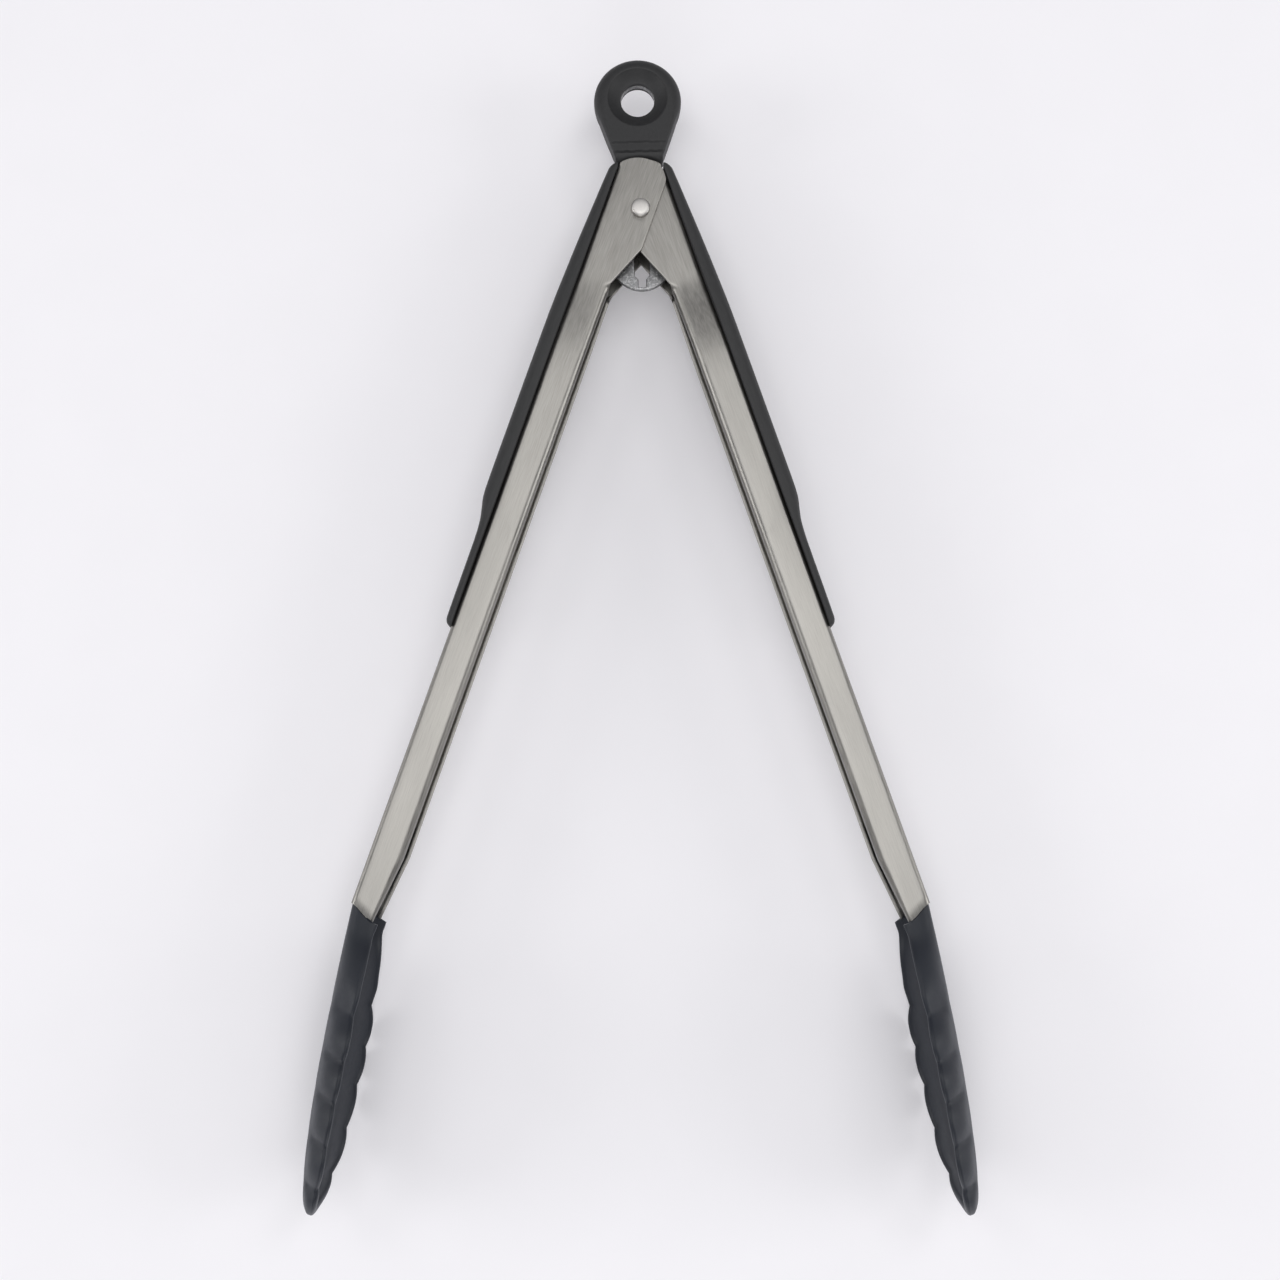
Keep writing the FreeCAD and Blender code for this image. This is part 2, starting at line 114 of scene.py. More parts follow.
def on_arm(side: Side) -> Placing:
    """The placing of an arm's pieces.

    Args:
        side: Which arm.

    Returns:
        A function from millimetres in the closed left arm to metres in the frame.
    """
    def place(x: float, y: float, z: float) -> Vector:
        """One point of the closed left arm, put where the open arm has it."""
        across = -x if side is Side.RIGHT else x
        px, py = spun(across, y, side.turn)
        return PIVOT + Vector((px, py, z)) * MM
    return place


def on_slide(x: float, y: float, z: float) -> Vector:
    """One point of the upright plate or tab, leaned as it hangs."""
    px, py = spun(x, y, TAB_LEAN)
    return PIVOT + Vector((px, py, z)) * MM


def on_pivot(x: float, y: float, z: float) -> Vector:
    """One point drawn about the pivot."""
    return PIVOT + Vector((x, y, z)) * MM


# ---------------------------------------------------------------- curves of sizes
def smooth(low: float, high: float, value: float) -> float:
    """A soft step from 0 at low to 1 at high, which may be the smaller."""
    t = min(1.0, max(0.0, (value - low) / (high - low)))
    return t * t * (3 - 2 * t)


@dataclass(frozen=True)
class Run:
    """A size that changes along an arm, given at a few places and smooth or straight between them."""

    knots: tuple[Flat, ...]
    straight: bool = False

    def at(self, place: float) -> float:
        """The size at one place.

        Args:
            place: Where along the arm. Outside the knots the end values hold.

        Returns:
            The size there.
        """
        knots = sorted(self.knots)
        if place <= knots[0][0]:
            return knots[0][1]
        if place >= knots[-1][0]:
            return knots[-1][1]
        slopes = [(b[1] - a[1]) / (b[0] - a[0]) for a, b in zip(knots, knots[1:])]
        for number, (a, b) in enumerate(zip(knots, knots[1:])):
            if place <= b[0]:
                break
        span = b[0] - a[0]
        t = (place - a[0]) / span
        if self.straight:
            return a[1] + (b[1] - a[1]) * t
        start = self.tangent(slopes, number)
        end = self.tangent(slopes, number + 1)
        h00, h10 = (1 + 2 * t) * (1 - t) ** 2, t * (1 - t) ** 2
        h01, h11 = t * t * (3 - 2 * t), t * t * (t - 1)
        return h00 * a[1] + h10 * span * start + h01 * b[1] + h11 * span * end

    @staticmethod
    def tangent(slopes: list[float], number: int) -> float:
        """The slope at a knot, level wherever the size turns back, so that nothing overshoots."""
        if number == 0:
            return slopes[0]
        if number == len(slopes):
            return slopes[-1]
        before, after = slopes[number - 1], slopes[number]
        return 0.0 if before * after <= 0 else 2 * before * after / (before + after)


def steps(start: float, end: float, count: int) -> list[float]:
    """Evenly spaced numbers, both ends included."""
    return [start + (end - start) * number / count for number in range(count + 1)]


def arc(centre: Flat, radius: float, start: float, end: float, count: int) -> list[Flat]:
    """Points on an arc.

    Args:
        centre: Its centre.
        radius: Its radius.
        start: First angle, in degrees.
        end: Last angle, in degrees.
        count: How many steps it is cut into.

    Returns:
        The points, ends included.
    """
    return [(centre[0] + radius * cos(radians(a)), centre[1] + radius * sin(radians(a)))
            for a in steps(start, end, count)]


# ---------------------------------------------------------------- meshes
def new_piece(name: str, bm: bmesh.types.BMesh) -> bpy.types.Object:
    """A mesh object from a finished bmesh."""
    mesh = bpy.data.meshes.new(name)
    bm.to_mesh(mesh)
    bm.free()
    piece = bpy.data.objects.new(name, mesh)
    bpy.context.scene.collection.objects.link(piece)
    return piece


def net(rows: Sequence[Sequence[Vector]], loop: bool = False, caps: bool = False,
        skip: Callable[[int, int], bool] = lambda row, column: False) -> bmesh.types.BMesh:
    """A net of four-sided faces over rows of points.

    Args:
        rows: Points in rows of one length.
        loop: Whether each row closes on itself.
        caps: Whether the first and last rows are closed with a face.
        skip: Says which faces are left out, by row and column.

    Returns:
        The net, its doubles merged, and turned outwards where it is closed.
    """
    bm = bmesh.new()
    grid = [[bm.verts.new(point) for point in row] for row in rows]
    width = len(rows[0])
    for r in range(len(rows) - 1):
        for c in range(width if loop else width - 1):
            if not skip(r, c):
                d = (c + 1) % width
                bm.faces.new((grid[r][c], grid[r][d], grid[r + 1][d], grid[r + 1][c]))
    if caps:
        bm.faces.new(grid[0])
        bm.faces.new(list(reversed(grid[-1])))
    bmesh.ops.remove_doubles(bm, verts=bm.verts, dist=2e-6)
    bmesh.ops.dissolve_degenerate(bm, edges=bm.edges, dist=1e-6)
    bmesh.ops.delete(bm, geom=[v for v in bm.verts if not v.link_faces], context="VERTS")
    if loop:
        bmesh.ops.recalc_face_normals(bm, faces=bm.faces)
    return bm


def shown_mesh(piece: bpy.types.Object) -> bpy.types.Mesh:
    """The mesh of a piece as its modifiers leave it."""
    bpy.context.view_layer.update()
    return bpy.data.meshes.new_from_object(piece.evaluated_get(bpy.context.evaluated_depsgraph_get()))


def settle(piece: bpy.types.Object, angle: float = 35.0) -> bpy.types.Object:
    """Turns a piece and its modifiers into one plain, smooth-shaded mesh.

    Args:
        piece: The object.
        angle: Edges sharper than this stay crisp, in degrees.

    Returns:
        The same object.
    """
    mesh = shown_mesh(piece)
    mesh.name = piece.name
    piece.modifiers.clear()
    old, piece.data = piece.data, mesh
    if old.users == 0 and isinstance(old, bpy.types.Mesh):
        bpy.data.meshes.remove(old)
    mesh.shade_smooth()
    mesh.set_sharp_from_angle(angle=radians(angle))
    return piece


def soften(piece: bpy.types.Object, width: float, segments: int = 2, angle: float = 40.0) -> None:
    """Rounds the sharp edges of a piece with a bevel of this width, in millimetres."""
    bevel = piece.modifiers.new("soften", "BEVEL")
    bevel.width = width * MM
    bevel.segments = segments
    bevel.limit_method = "ANGLE"
    bevel.angle_limit = radians(angle)
    bevel.use_clamp_overlap = True


def turned_piece(name: str, outline: Sequence[Flat], place: Placing,
                 count: int = 48) -> bpy.types.Object:
    """A round piece.

    Args:
        name: Its name.
        outline: Radius and height, from one pole to the other.
        place: Puts a point, its axis along the third coordinate, into the frame.
        count: Sides of the round.

    Returns:
        The piece.
    """
    rows = [[place(radius * cos(2 * pi * n / count), radius * sin(2 * pi * n / count), height)
             for n in range(count)] for radius, height in outline]
    return settle(new_piece(name, net(rows, loop=True)))


def bored(piece: bpy.types.Object, cutter: bpy.types.Object) -> None:
    """Cuts a piece with another one, which is then removed."""
    cut = piece.modifiers.new("bore", "BOOLEAN")
    cut.operation = "DIFFERENCE"
    cut.solver = "EXACT"
    cut.object = cutter
    mesh = shown_mesh(piece)
    piece.modifiers.clear()
    piece.data = mesh
    bpy.data.objects.remove(cutter)


def hand_over(piece: bpy.types.Object, body: str, slot: str, *nodes: str) -> bpy.types.Object:
    """Gives a finished piece to the frame.

    Args:
        piece: The piece.
        body: The body that it moves with.
        slot: The record's slot that its finish belongs to. Not used.
        *nodes: The nodes that it stands for.

    Returns:
        The same piece.
    """
    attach(piece, body)
    if nodes:
        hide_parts(*nodes)
    LOG.info("%s: %d faces, on %s", piece.name, len(piece.data.polygons), body)
    return piece


# ---------------------------------------------------------------- finishes
def feed(socket: bpy.types.NodeSocket, value: object) -> None:
    """Joins a node's input to another socket, or sets it to a value."""
    if isinstance(value, bpy.types.NodeSocket):
        socket.id_data.links.new(value, socket)
    else:
        socket.default_value = value


def toned(colour: Point, share: float) -> Point:
    """A colour, darker or lighter by a share."""
    return tuple(channel * share for channel in colour)


class Bench:
    """A material's node tree with short ways to add to it."""

    def __init__(self, name: str) -> None:
        """Starts a material with one shader."""
        self.material = bpy.data.materials.new(name)
        self.material.use_nodes = True
        self.tree = self.material.node_tree
        self.shader = self.tree.nodes["Principled BSDF"]

    def node(self, kind: str, inputs: dict[str, object] | None = None, **settings: object) -> bpy.types.Node:
        """Adds a node.

        Args:
            kind: Its type without the ShaderNode prefix.
            inputs: Values, or sockets to join, by the name of the input.
            **settings: Attributes of the node.

        Returns:
            The node.
        """
        made = self.tree.nodes.new("ShaderNode" + kind)
        for key, value in settings.items():
            setattr(made, key, value)
        for key, value in (inputs or {}).items():
            feed(made.inputs[key], value)
        return made

    def shade(self, **values: object) -> None:
        """Sets or joins the shader's inputs, by name with underscores for spaces."""
        for key, value in values.items():
            feed(self.shader.inputs[key.replace("_", " ")], value)

    def local(self, turn: float, scale: Point, centre: Vector | None = None) -> bpy.types.NodeSocket:
        """Object coordinates about a centre, turned back, then multiplied.

        Args:
            turn: The piece's turn about Z, in degrees.
            scale: Repeats for each metre, on each axis.
            centre: Where the pattern starts; the pivot if none is given.

        Returns:
            The vector socket.
        """
        source = self.node("TexCoord").outputs["Object"]
        mapped = self.node("Mapping", {"Vector": source}, vector_type="TEXTURE")
        mapped.inputs["Location"].default_value = centre or PIVOT
        mapped.inputs["Rotation"].default_value = (0, 0, radians(turn))
        mapped.inputs["Scale"].default_value = tuple(1 / s for s in scale)
        return mapped.outputs["Vector"]

    def noise(self, vector: bpy.types.NodeSocket, scale: float = 1.0, detail: float = 2.0,
              roughness: float = 0.5) -> bpy.types.NodeSocket:
        """A noise value over a vector."""
        made = self.node("TexNoise", {"Vector": vector, "Scale": scale, "Detail": detail,
                                      "Roughness": roughness})
        return made.outputs["Fac"]

    def ramp(self, value: bpy.types.NodeSocket, stops: Iterable[tuple[float, Point]]) -> bpy.types.NodeSocket:
        """Colours over a value.

        Args:
            value: The value.
            stops: Each stop's place and colour.

        Returns:
            The colour socket.
        """
        made = self.node("ValToRGB", {"Fac": value})
        elements = made.color_ramp.elements
        for number, (place, colour) in enumerate(stops):
            element = elements[number] if number < 2 else elements.new(place)
            element.position = place
            element.color = (*colour, 1.0)
        return made.outputs["Color"]

    def tones(self, value: bpy.types.NodeSocket, colour: Point, low: float, high: float = 1.0,
              end: float = 0.7) -> bpy.types.NodeSocket:
        """One colour over a value, from its low share to its high one."""
        return self.ramp(value, ((0.3, toned(colour, low)), (end, toned(colour, high))))

    def spread(self, value: bpy.types.NodeSocket, low: float, high: float,
               start: float = 0.0, end: float = 1.0) -> bpy.types.NodeSocket:
        """A value stretched from start..end to low..high."""
        made = self.node("MapRange", {"Value": value, "From Min": start, "From Max": end,
                                      "To Min": low, "To Max": high})
        return made.outputs["Result"]

    def mix(self, share: object, first: object, second: object, blend: str = "MIX") -> bpy.types.NodeSocket:
        """Two colours mixed.

        Args:
            share: The second colour's share.
            first: The first colour.
            second: The second colour.
            blend: How they mix.

        Returns:
            The colour socket.
        """
        made = self.node("Mix", data_type="RGBA", blend_type=blend)
        feed(made.inputs[0], share)
        feed(made.inputs[6], first)
        feed(made.inputs[7], second)
        return made.outputs[2]

    def bump(self, height: bpy.types.NodeSocket, distance: float, strength: float = 1.0) -> None:
        """A bump of this depth, in millimetres, on the shader's normal."""
        made = self.node("Bump", {"Height": height, "Strength": strength, "Distance": distance * MM})
        self.shade(Normal=made.outputs["Normal"])


@dataclass(frozen=True)
class BrushedSteel:
    """Stainless sheet with a grain brushed along it."""

    name: str
    turn: float
    dark: Point = (0.255, 0.246, 0.230)
    light: Point = (0.350, 0.338, 0.316)
    lines: float = 3400.0         # brush lines across a metre
    length: float = 170.0         # brush strokes along a metre

    def build(self) -> bpy.types.Material:
        """The material."""
        bench = Bench(self.name)
        grain = bench.noise(bench.local(self.turn, (self.lines, self.length, self.lines)), detail=3.0)
        cloud = bench.noise(bench.local(self.turn, (160.0, 28.0, 160.0)), detail=2.0)
        tone = bench.ramp(grain, ((0.28, self.dark), (0.72, self.light)))
        shade = bench.tones(cloud, WHITE, 0.90)
        bench.shade(Base_Color=bench.mix(1.0, tone, shade, "MULTIPLY"), Metallic=1.0,
                    Roughness=bench.spread(grain, 0.30, 0.44, 0.25, 0.75), Anisotropic=0.45)
        bench.bump(grain, 0.012, 0.35)
        return bench.material


@dataclass(frozen=True)
class SatinMetal:
    """Plain metal with a fine even grain."""

    name: str
    colour: Point
    roughness: float
    grain: float = 2600.0

    def build(self) -> bpy.types.Material:
        """The material."""
        bench = Bench(self.name)
        grain = bench.noise(bench.local(0.0, (self.grain,) * 3), detail=4.0)
        bench.shade(Base_Color=bench.tones(grain, self.colour, 0.90), Metallic=1.0,
                    Roughness=bench.spread(grain, self.roughness - 0.05, self.roughness + 0.08))
        bench.bump(grain, 0.010, 0.3)
        return bench.material


@dataclass(frozen=True)
class TumbledSteel:
    """Plate steel whose dark, mottled base colour paints the clean plate's dark reflection, speckled with
    small bright scuffs.
    """

    name: str
    # dark: a painted dark reflection, not the steel's own colour; light: the real scuffs
    dark: Point = (0.18, 0.18, 0.183)
    light: Point = (0.62, 0.62, 0.62)

    def build(self) -> bpy.types.Material:
        """The material."""
        bench = Bench(self.name)
        speck = bench.noise(bench.local(TAB_LEAN, (1500.0, 1500.0, 1500.0)), detail=5.0, roughness=0.7)
        cloud = bench.noise(bench.local(TAB_LEAN, (330.0, 330.0, 330.0)), detail=2.0)
        # the mottled base is the painted dark reflection
        base = bench.ramp(cloud, ((0.35, self.dark), (0.7, toned(self.dark, 1.7))))
        scuffs = bench.spread(speck, 0.0, 1.0, 0.50, 0.68)
        bench.shade(Base_Color=bench.mix(scuffs, base, (*self.light, 1.0)), Metallic=1.0,
                    Roughness=bench.spread(speck, 0.32, 0.55))
        bench.bump(speck, 0.03, 0.5)
        return bench.material


@dataclass(frozen=True)
class SoftRubber:
    """Matt moulded rubber with a fine spark-eroded grain."""

    name: str
    colour: Point
    turn: float = 0.0
    grain: float = 1700.0
    along: float = 1.0            # how much longer the grain is along the piece
    roughness: float = 0.62
    depth: float = 0.05

    def build(self) -> bpy.types.Material:
        """The material."""
        bench = Bench(self.name)
        grain = bench.noise(bench.local(self.turn, (self.grain, self.grain / self.along, self.grain)),
                            detail=4.0, roughness=0.6)
        cloud = bench.noise(bench.local(self.turn, (90.0, 30.0, 90.0)), detail=2.0)
        tone = bench.tones(grain, self.colour, 0.72, 1.30, 0.72)
        shade = bench.tones(cloud, WHITE, 0.88)
        bench.shade(Base_Color=bench.mix(1.0, tone, shade, "MULTIPLY"),
                    Roughness=bench.spread(grain, self.roughness - 0.07, self.roughness + 0.10))
        bench.bump(grain, self.depth, 0.6)
        return bench.material


@dataclass(frozen=True)
class Silicone:
    """Slate silicone: nearly smooth, with a soft sheen and a trace of flow marks."""

    name: str
    turn: float
    colour: Point = (0.0075, 0.0105, 0.018)

    def build(self) -> bpy.types.Material:
        """The material."""
        bench = Bench(self.name)
        fine = bench.noise(bench.local(self.turn, (900.0, 500.0, 900.0)), detail=3.0)
        flow = bench.noise(bench.local(self.turn, (120.0, 40.0, 120.0)), detail=2.0)
        bench.shade(Base_Color=bench.tones(flow, self.colour, 0.82),
                    Roughness=bench.spread(fine, 0.40, 0.54), Sheen_Weight=0.06,
                    Sheen_Roughness=0.45, Specular_IOR_Level=0.42)
        bench.shader.inputs["Sheen Tint"].default_value = (0.55, 0.62, 0.75, 1.0)
        bench.bump(fine, 0.02, 0.4)
        return bench.material


@dataclass(frozen=True)
class MouldedNylon:
    """Hard moulded nylon with a faint grain."""

    name: str
    colour: Point
    roughness: float = 0.42

    def build(self) -> bpy.types.Material:
        """The material."""
        bench = Bench(self.name)
        grain = bench.noise(bench.local(0.0, (1400.0,) * 3), detail=3.0)
        bench.shade(Base_Color=bench.tones(grain, self.colour, 0.85),
                    Roughness=bench.spread(grain, self.roughness - 0.05, self.roughness + 0.08))
        bench.bump(grain, 0.02, 0.4)
        return bench.material


RIVET_STEEL = SatinMetal("satin_rivet_steel", (0.60, 0.58, 0.555), 0.44)


def dress(piece: bpy.types.Object, *finishes: object) -> None:
    """Gives a piece these finishes, in the order of its material slots."""
    piece.data.materials.clear()
    for finish in finishes:
        known = bpy.data.materials.get(finish.name)
        piece.data.materials.append(known or finish.build())


# ---------------------------------------------------------------- the steel arms
@dataclass
class Arm:
    """One folded steel arm: flat ears at the hinge, then a channel with curled lips."""

    side: Side
    ear_half: float
    sheet: float = 1.0
    back: float = 10.4
    corner: float = 1.4
    curl: float = 2.0
    half: float = 8.0
    back_top: float = 3.2
    end: float = -215.0
    taper: float = -199.0
    slant: float = 3.0            # the lips run this much further into the head than the back
    rivet_bore: float = 2.06
    stud_bore: float = 2.0
    studs: tuple[float, ...] = (-44.0, -84.0)
    tip_bore: Flat = (-203.0, 1.5)
    bore_sides: int = 40
    bore_reach: Flat = (-1.0, 2.0)        # a back's bore starts and ends this far from the back
    rivet_reach: float = 12.0             # half the length of the rivet's bore
    inside: float = -5.0                  # a line along the middle of the channel
    fold_angles: tuple[float, ...] = (90.0, 105.9, 121.8, 137.7, 153.6, 167.0, 180.0)
    wall_columns: int = 15        # columns of faces on each side of the channel's back
    top: tuple[float, float, float] = (-2.7, 4.6, 9.9)
    front: Run = Run((
        (-215.0, -2.85), (-199.0, -0.75), (-23.6, -0.75), (-23.2, -0.6), (-12.3, 3.9), (-11.6, 4.22),
        (-10.8, 4.3), (8.8, 4.3), (10.2, 4.15), (11.1, 3.9), (13.0, 2.546)), straight=True)
    widths: Flat = (-23.4, -48.0)         # from the ears' width to the channel's
    curl_from: Flat = (-23.0, -26.4)      # where the ears turn into curled lips
    curl_loss: float = 0.9                # how much tighter the curl gets inside the head
    ear_back: float = -10.21              # the ears' outer edge below their round top
    ear_round: Flat = (10.9, 13.0)        # where the round top begins behind and in front
    ear_flat: Flat = (9.0, 11.5)          # where the back's rounding runs out on the ears
    top_angles: tuple[float, ...] = (58, 63, 68, 73, 77.5, 81.5, 84.5, 87, 88.6)
    ear_stations: tuple[float, ...] = (
        -42, -36, -31, -28.5, -27.2, -26.4, -25.6, -25, -24.4, -23.8, -23.2, -22.4, -20.5, -18, -15,
        -12.3, -11.9, -11.4, -10.8, -8, -4, 0, 3.2, 5.5, 8, 8.8, 9.5, 10.2, 10.9, 11.6, 12.3)

    def half_at(self, y: float) -> float:
        """Half the arm's width, in depth."""
        return self.ear_half + (self.half - self.ear_half) * smooth(*self.widths, y)

    def front_at(self, y: float) -> float:
        """The inner edge of the ears, or of the curled lips."""
        x, centre, radius = self.top
        if y > self.ear_round[1]:
            return x + sqrt(max(0.0, radius ** 2 - (y - centre) ** 2))
        return self.front.at(y)

    def back_at(self, y: float) -> float:
        """The outer edge of an ear above the arm's back."""
        x, centre, radius = self.top
        if y <= self.ear_round[0]:
            return self.ear_back
        return x - sqrt(max(0.0, radius ** 2 - (y - centre) ** 2))

    def profile(self, y: float) -> list[Flat]:
        """The outer skin's section, from a lip's edge to the middle of the back.

        Args:
            y: Where along the arm.

        Returns:
            Points across the arm and in depth.
        """
        half, edge = self.half_at(y), self.front_at(y)
        radius = self.curl - self.curl_loss * smooth(self.taper, self.end, y)
        bend = 90.0 * smooth(*self.curl_from, y)
        bent = radius * radians(bend)
        centre = (edge - radius * sin(radians(bend)), half - radius)
        lip = []
        reach = radius * pi / 2
        for distance in steps(0.0, reach, 7):
            if distance < bent:
                angle = radians(90 - bend) + distance / radius
                lip.append((centre[0] + radius * cos(angle), centre[1] + radius * sin(angle)))
            else:
                lip.append((centre[0] - (distance - bent), half))
        fold = (-self.back + self.corner, half - self.corner)
        wall = [(x, half) for x in steps(lip[-1][0], fold[0], 5)[1:-1]]
        corner = [(fold[0] + self.corner * cos(radians(a)), fold[1] + self.corner * sin(radians(a)))
                  for a in self.fold_angles]
        back = [(-self.back, z) for z in steps(fold[1], 0.0, 3)[1:]]
        return lip + wall + corner + back

    def section(self, y: float) -> list[Flat]:
        """The outer skin's whole section, its ear narrowed to the ear's outline above the back."""
        upper = self.profile(y)
        if y > self.back_top:
            half, right, left = self.half_at(y), self.front_at(y), self.back_at(y)
            flat = smooth(*self.ear_flat, y)
            squeeze = (right - left) / (right - self.ear_back)
            upper = [(right - (right - x) * squeeze, z + (half - z) * flat) for x, z in upper]
        return upper + [(x, -z) for x, z in reversed(upper[:-1])]

    def stations(self) -> list[float]:
        """Where the section is drawn, along the arm."""
        _, centre, radius = self.top
        top = [centre + radius * sin(radians(a)) for a in self.top_angles]
        return (steps(self.end, self.taper, 6) + steps(self.taper, self.widths[1], 22)[1:]
                + list(self.ear_stations) + top)

    def build(self) -> bpy.types.Object:
        """Folds the sheet, bores it and hands it over."""
        place = on_arm(self.side)
        stations = self.stations()
        rows = []
        for y in stations:
            row = []
            for x, z in self.section(y):
                share = smooth(-self.back, self.front_at(y), x) if y < self.taper else 0.0
                tail = (self.taper - y) / (self.taper - self.end) if y < self.taper else 0.0
                row.append(place(x, y - self.slant * tail * share, z))
            rows.append(row)
        width = len(rows[0])
        gap = range(self.wall_columns, width - self.wall_columns - 1)
        bm = net(rows, skip=lambda r, c: stations[r] >= self.back_top - 0.01 and c in gap)
        self.face_out(bm)
        piece = new_piece(self.side.word + "_arm_steel", bm)
        wall = piece.modifiers.new("sheet", "SOLIDIFY")
        wall.thickness = self.sheet * MM
        wall.offset = -1.0
        wall.use_even_offset = True
        settle(piece)
        bored(piece, self.bores())
        soften(piece, 0.16)
        settle(piece, 28.0)
        dress(piece, BrushedSteel(f"steel_brushed_along_{self.side.word}_arm", self.side.turn))
        return hand_over(piece, self.side.body, "brushed_steel", self.side.word + "_arm")

    def face_out(self, bm: bmesh.types.BMesh) -> None:
        """Turns the open skin's faces away from the middle of the channel."""
        place = on_arm(self.side)
        bmesh.ops.recalc_face_normals(bm, faces=bm.faces)
        bm.faces.ensure_lookup_table()
        start = place(self.inside, 0, 0)
        axis = (place(self.inside, self.end, 0) - start).normalized()
        total = 0.0
        for face in bm.faces:
            out = face.calc_center_median() - start
            out -= axis * out.dot(axis)
            total += face.calc_area() * face.normal.dot(out)
        if total < 0:
            bmesh.ops.reverse_faces(bm, faces=bm.faces)

    def bores(self) -> bpy.types.Object:
        """The rods that cut the rivets' and studs' holes."""
        place = on_arm(self.side)
        bm = bmesh.new()
        rods = [(self.rivet_bore, (0, 0, -self.rivet_reach), (0, 0, self.rivet_reach))]
        outside, inside = (step - self.back for step in self.bore_reach)
        for y, radius in [(y, self.stud_bore) for y in self.studs] + [self.tip_bore]:
            rods.append((radius, (outside, y, 0), (inside, y, 0)))
        for radius, start, end in rods:
            low, high = place(*start), place(*end)
            turn = (high - low).to_track_quat("Z", "Y").to_matrix().to_4x4()
            bmesh.ops.create_cone(bm, cap_ends=True, segments=self.bore_sides, radius1=radius * MM,
                                  radius2=radius * MM, depth=(high - low).length,
                                  matrix=Matrix.Translation((low + high) / 2) @ turn)
        return new_piece("bores", bm)


# ---------------------------------------------------------------- grips
@dataclass
class Grip:
    """A soft grip over an arm's back, with a rounded nose, a finger stop and a thin apron."""

    side: Side
    base: Run = Run((      # where its edges end on the arm's walls
        (10.4, -10.6), (9.4, -10.35), (-128.0, -10.35), (-132.8, -10.2)))
    nose: Flat = (8.3, 10.4)
    tail: Flat = (-130.6, -132.8)
    squareness: float = 3.6
    back: float = -10.4           # the arm's back
    play: float = 0.02            # between the arm's back and the grip
    ends: Flat = (0.12, 0.22)     # what is left of the width and the rise at both ends
    fold_middle: float = 0.293    # how far a fold's middle is from its corner, for its radius
    carrier: tuple[float, float, float, float] = (6.15, -11.68, 3.1, -92.1)
    nose_angles: tuple[float, ...] = (4, 12, 22, 33, 45, 57, 70, 82)
    tail_angles: tuple[float, ...] = (4, 14, 27, 40, 55, 72)
    upper_stations: tuple[float, ...] = (
        0, -3.5, -8, -13, -19.5, -25, -31, -37, -43, -50, -58, -66, -74, -82, -88)
    lower_stations: tuple[float, ...] = (
        -93, -94.5, -96, -97, -98, -99, -100, -101, -102.5, -104.5, -107, -111, -116, -122, -127)
    outer: Run = Run((
        (10.4, -12.8), (8.3, -13.1), (-3.3, -13.8), (-19.5, -14.6), (-40.0, -15.1), (-90.0, -15.05),
        (-94.5, -14.8), (-98.0, -14.0), (-101.5, -13.25), (-107.0, -12.85), (-128.0, -12.7), (-132.8, -12.6)))
    half: Run = Run((
        (10.4, 7.6), (-3.3, 7.9), (-19.5, 8.5), (-40.0, 9.6), (-60.0, 9.8), (-128.0, 9.8), (-132.8, 9.7)))
    wall: Run = Run((
        (8.0, 7.15), (-1.0, 7.15), (-23.4, 6.82), (-48.0, 8.02), (-133.0, 8.02)), straight=True)
    fold: Run = Run((
        (8.0, 0.3), (-1.0, 0.3), (-23.4, 1.7), (-133.0, 1.7)), straight=True)

    def fullness(self, y: float) -> float:
        """How full the section is: 1 along the grip, rounding to nothing at both ends."""
        start, end = self.nose
        if y > start:
            return sqrt(max(0.0, 1 - ((y - start) / (end - start)) ** 2))
        start, end = self.tail
        if y < start:
            return sqrt(max(0.0, 1 - ((start - y) / (start - end)) ** 2))
        return 1.0

    def section(self, y: float) -> list[Flat]:
        """The closed section: a crowned outside, then the inside that sits on the arm.

        Args:
            y: Where along the arm.

        Returns:
            Points across the arm and in depth.
        """
        least, low = self.ends
        full = least + (1 - least) * self.fullness(y)
        wall, fold = self.wall.at(y), self.fold.at(y)
        half = wall + 0.25 + (self.half.at(y) - wall - 0.25) * full
        base = self.base.at(y)
        rise = (base - self.outer.at(y)) * (low + (1 - low) * full)
        points = []
        for angle in steps(0.0, 180.0, 40):
            c, s = cos(radians(angle)), sin(radians(angle))
            across = half * abs(c) ** (2 / self.squareness) * (1 if c >= 0 else -1)
            points.append((base - rise * abs(s) ** (2 / self.squareness), across))
        plate, level, top, end = self.carrier
        bed = self.back - self.play
        inner = level if end < y < top else bed
        cut = self.fold_middle * fold
        seat = [(base, wall), (self.back + fold, wall), (self.back + cut, wall - cut),
                (bed, wall - fold), (bed, plate), (inner, plate)]
        seat = [(min(x, base), z) for x, z in seat]
        return points + [(x, -z) for x, z in seat] + list(reversed(seat))

    def stations(self) -> list[float]:
        """Where the section is drawn, along the arm."""
        start, end = self.nose
        nose = [end - (end - start) * (1 - cos(radians(a))) for a in self.nose_angles]
        start, end = self.tail
        tail = [end + (start - end) * (1 - cos(radians(a))) for a in self.tail_angles]
        top, bottom = self.carrier[2:]
        steep = 0.01
        upper = [self.nose[0], top + steep, top - steep, *self.upper_stations]
        lower = [bottom + steep, bottom - steep, *self.lower_stations, self.tail[0]]
        return nose + upper + lower + list(reversed(tail))

    def build(self) -> bpy.types.Object:
        """Moulds the grip and hands it over."""
        place = on_arm(self.side)
        rows = [[place(x, y, z) for x, z in self.section(y)] for y in self.stations()]
        piece = new_piece(self.side.word + "_grip_rubber", net(rows, loop=True, caps=True))
        soften(piece, 0.14, 2, 50.0)
        settle(piece, 50.0)
        dress(piece, SoftRubber(f"rubber_grip_{self.side.word}", (0.020, 0.020, 0.0205), self.side.turn,
                                grain=1500.0, along=5.0))
        return hand_over(piece, self.side.body, "grip_rubber", self.side.word + "_grip_cover")


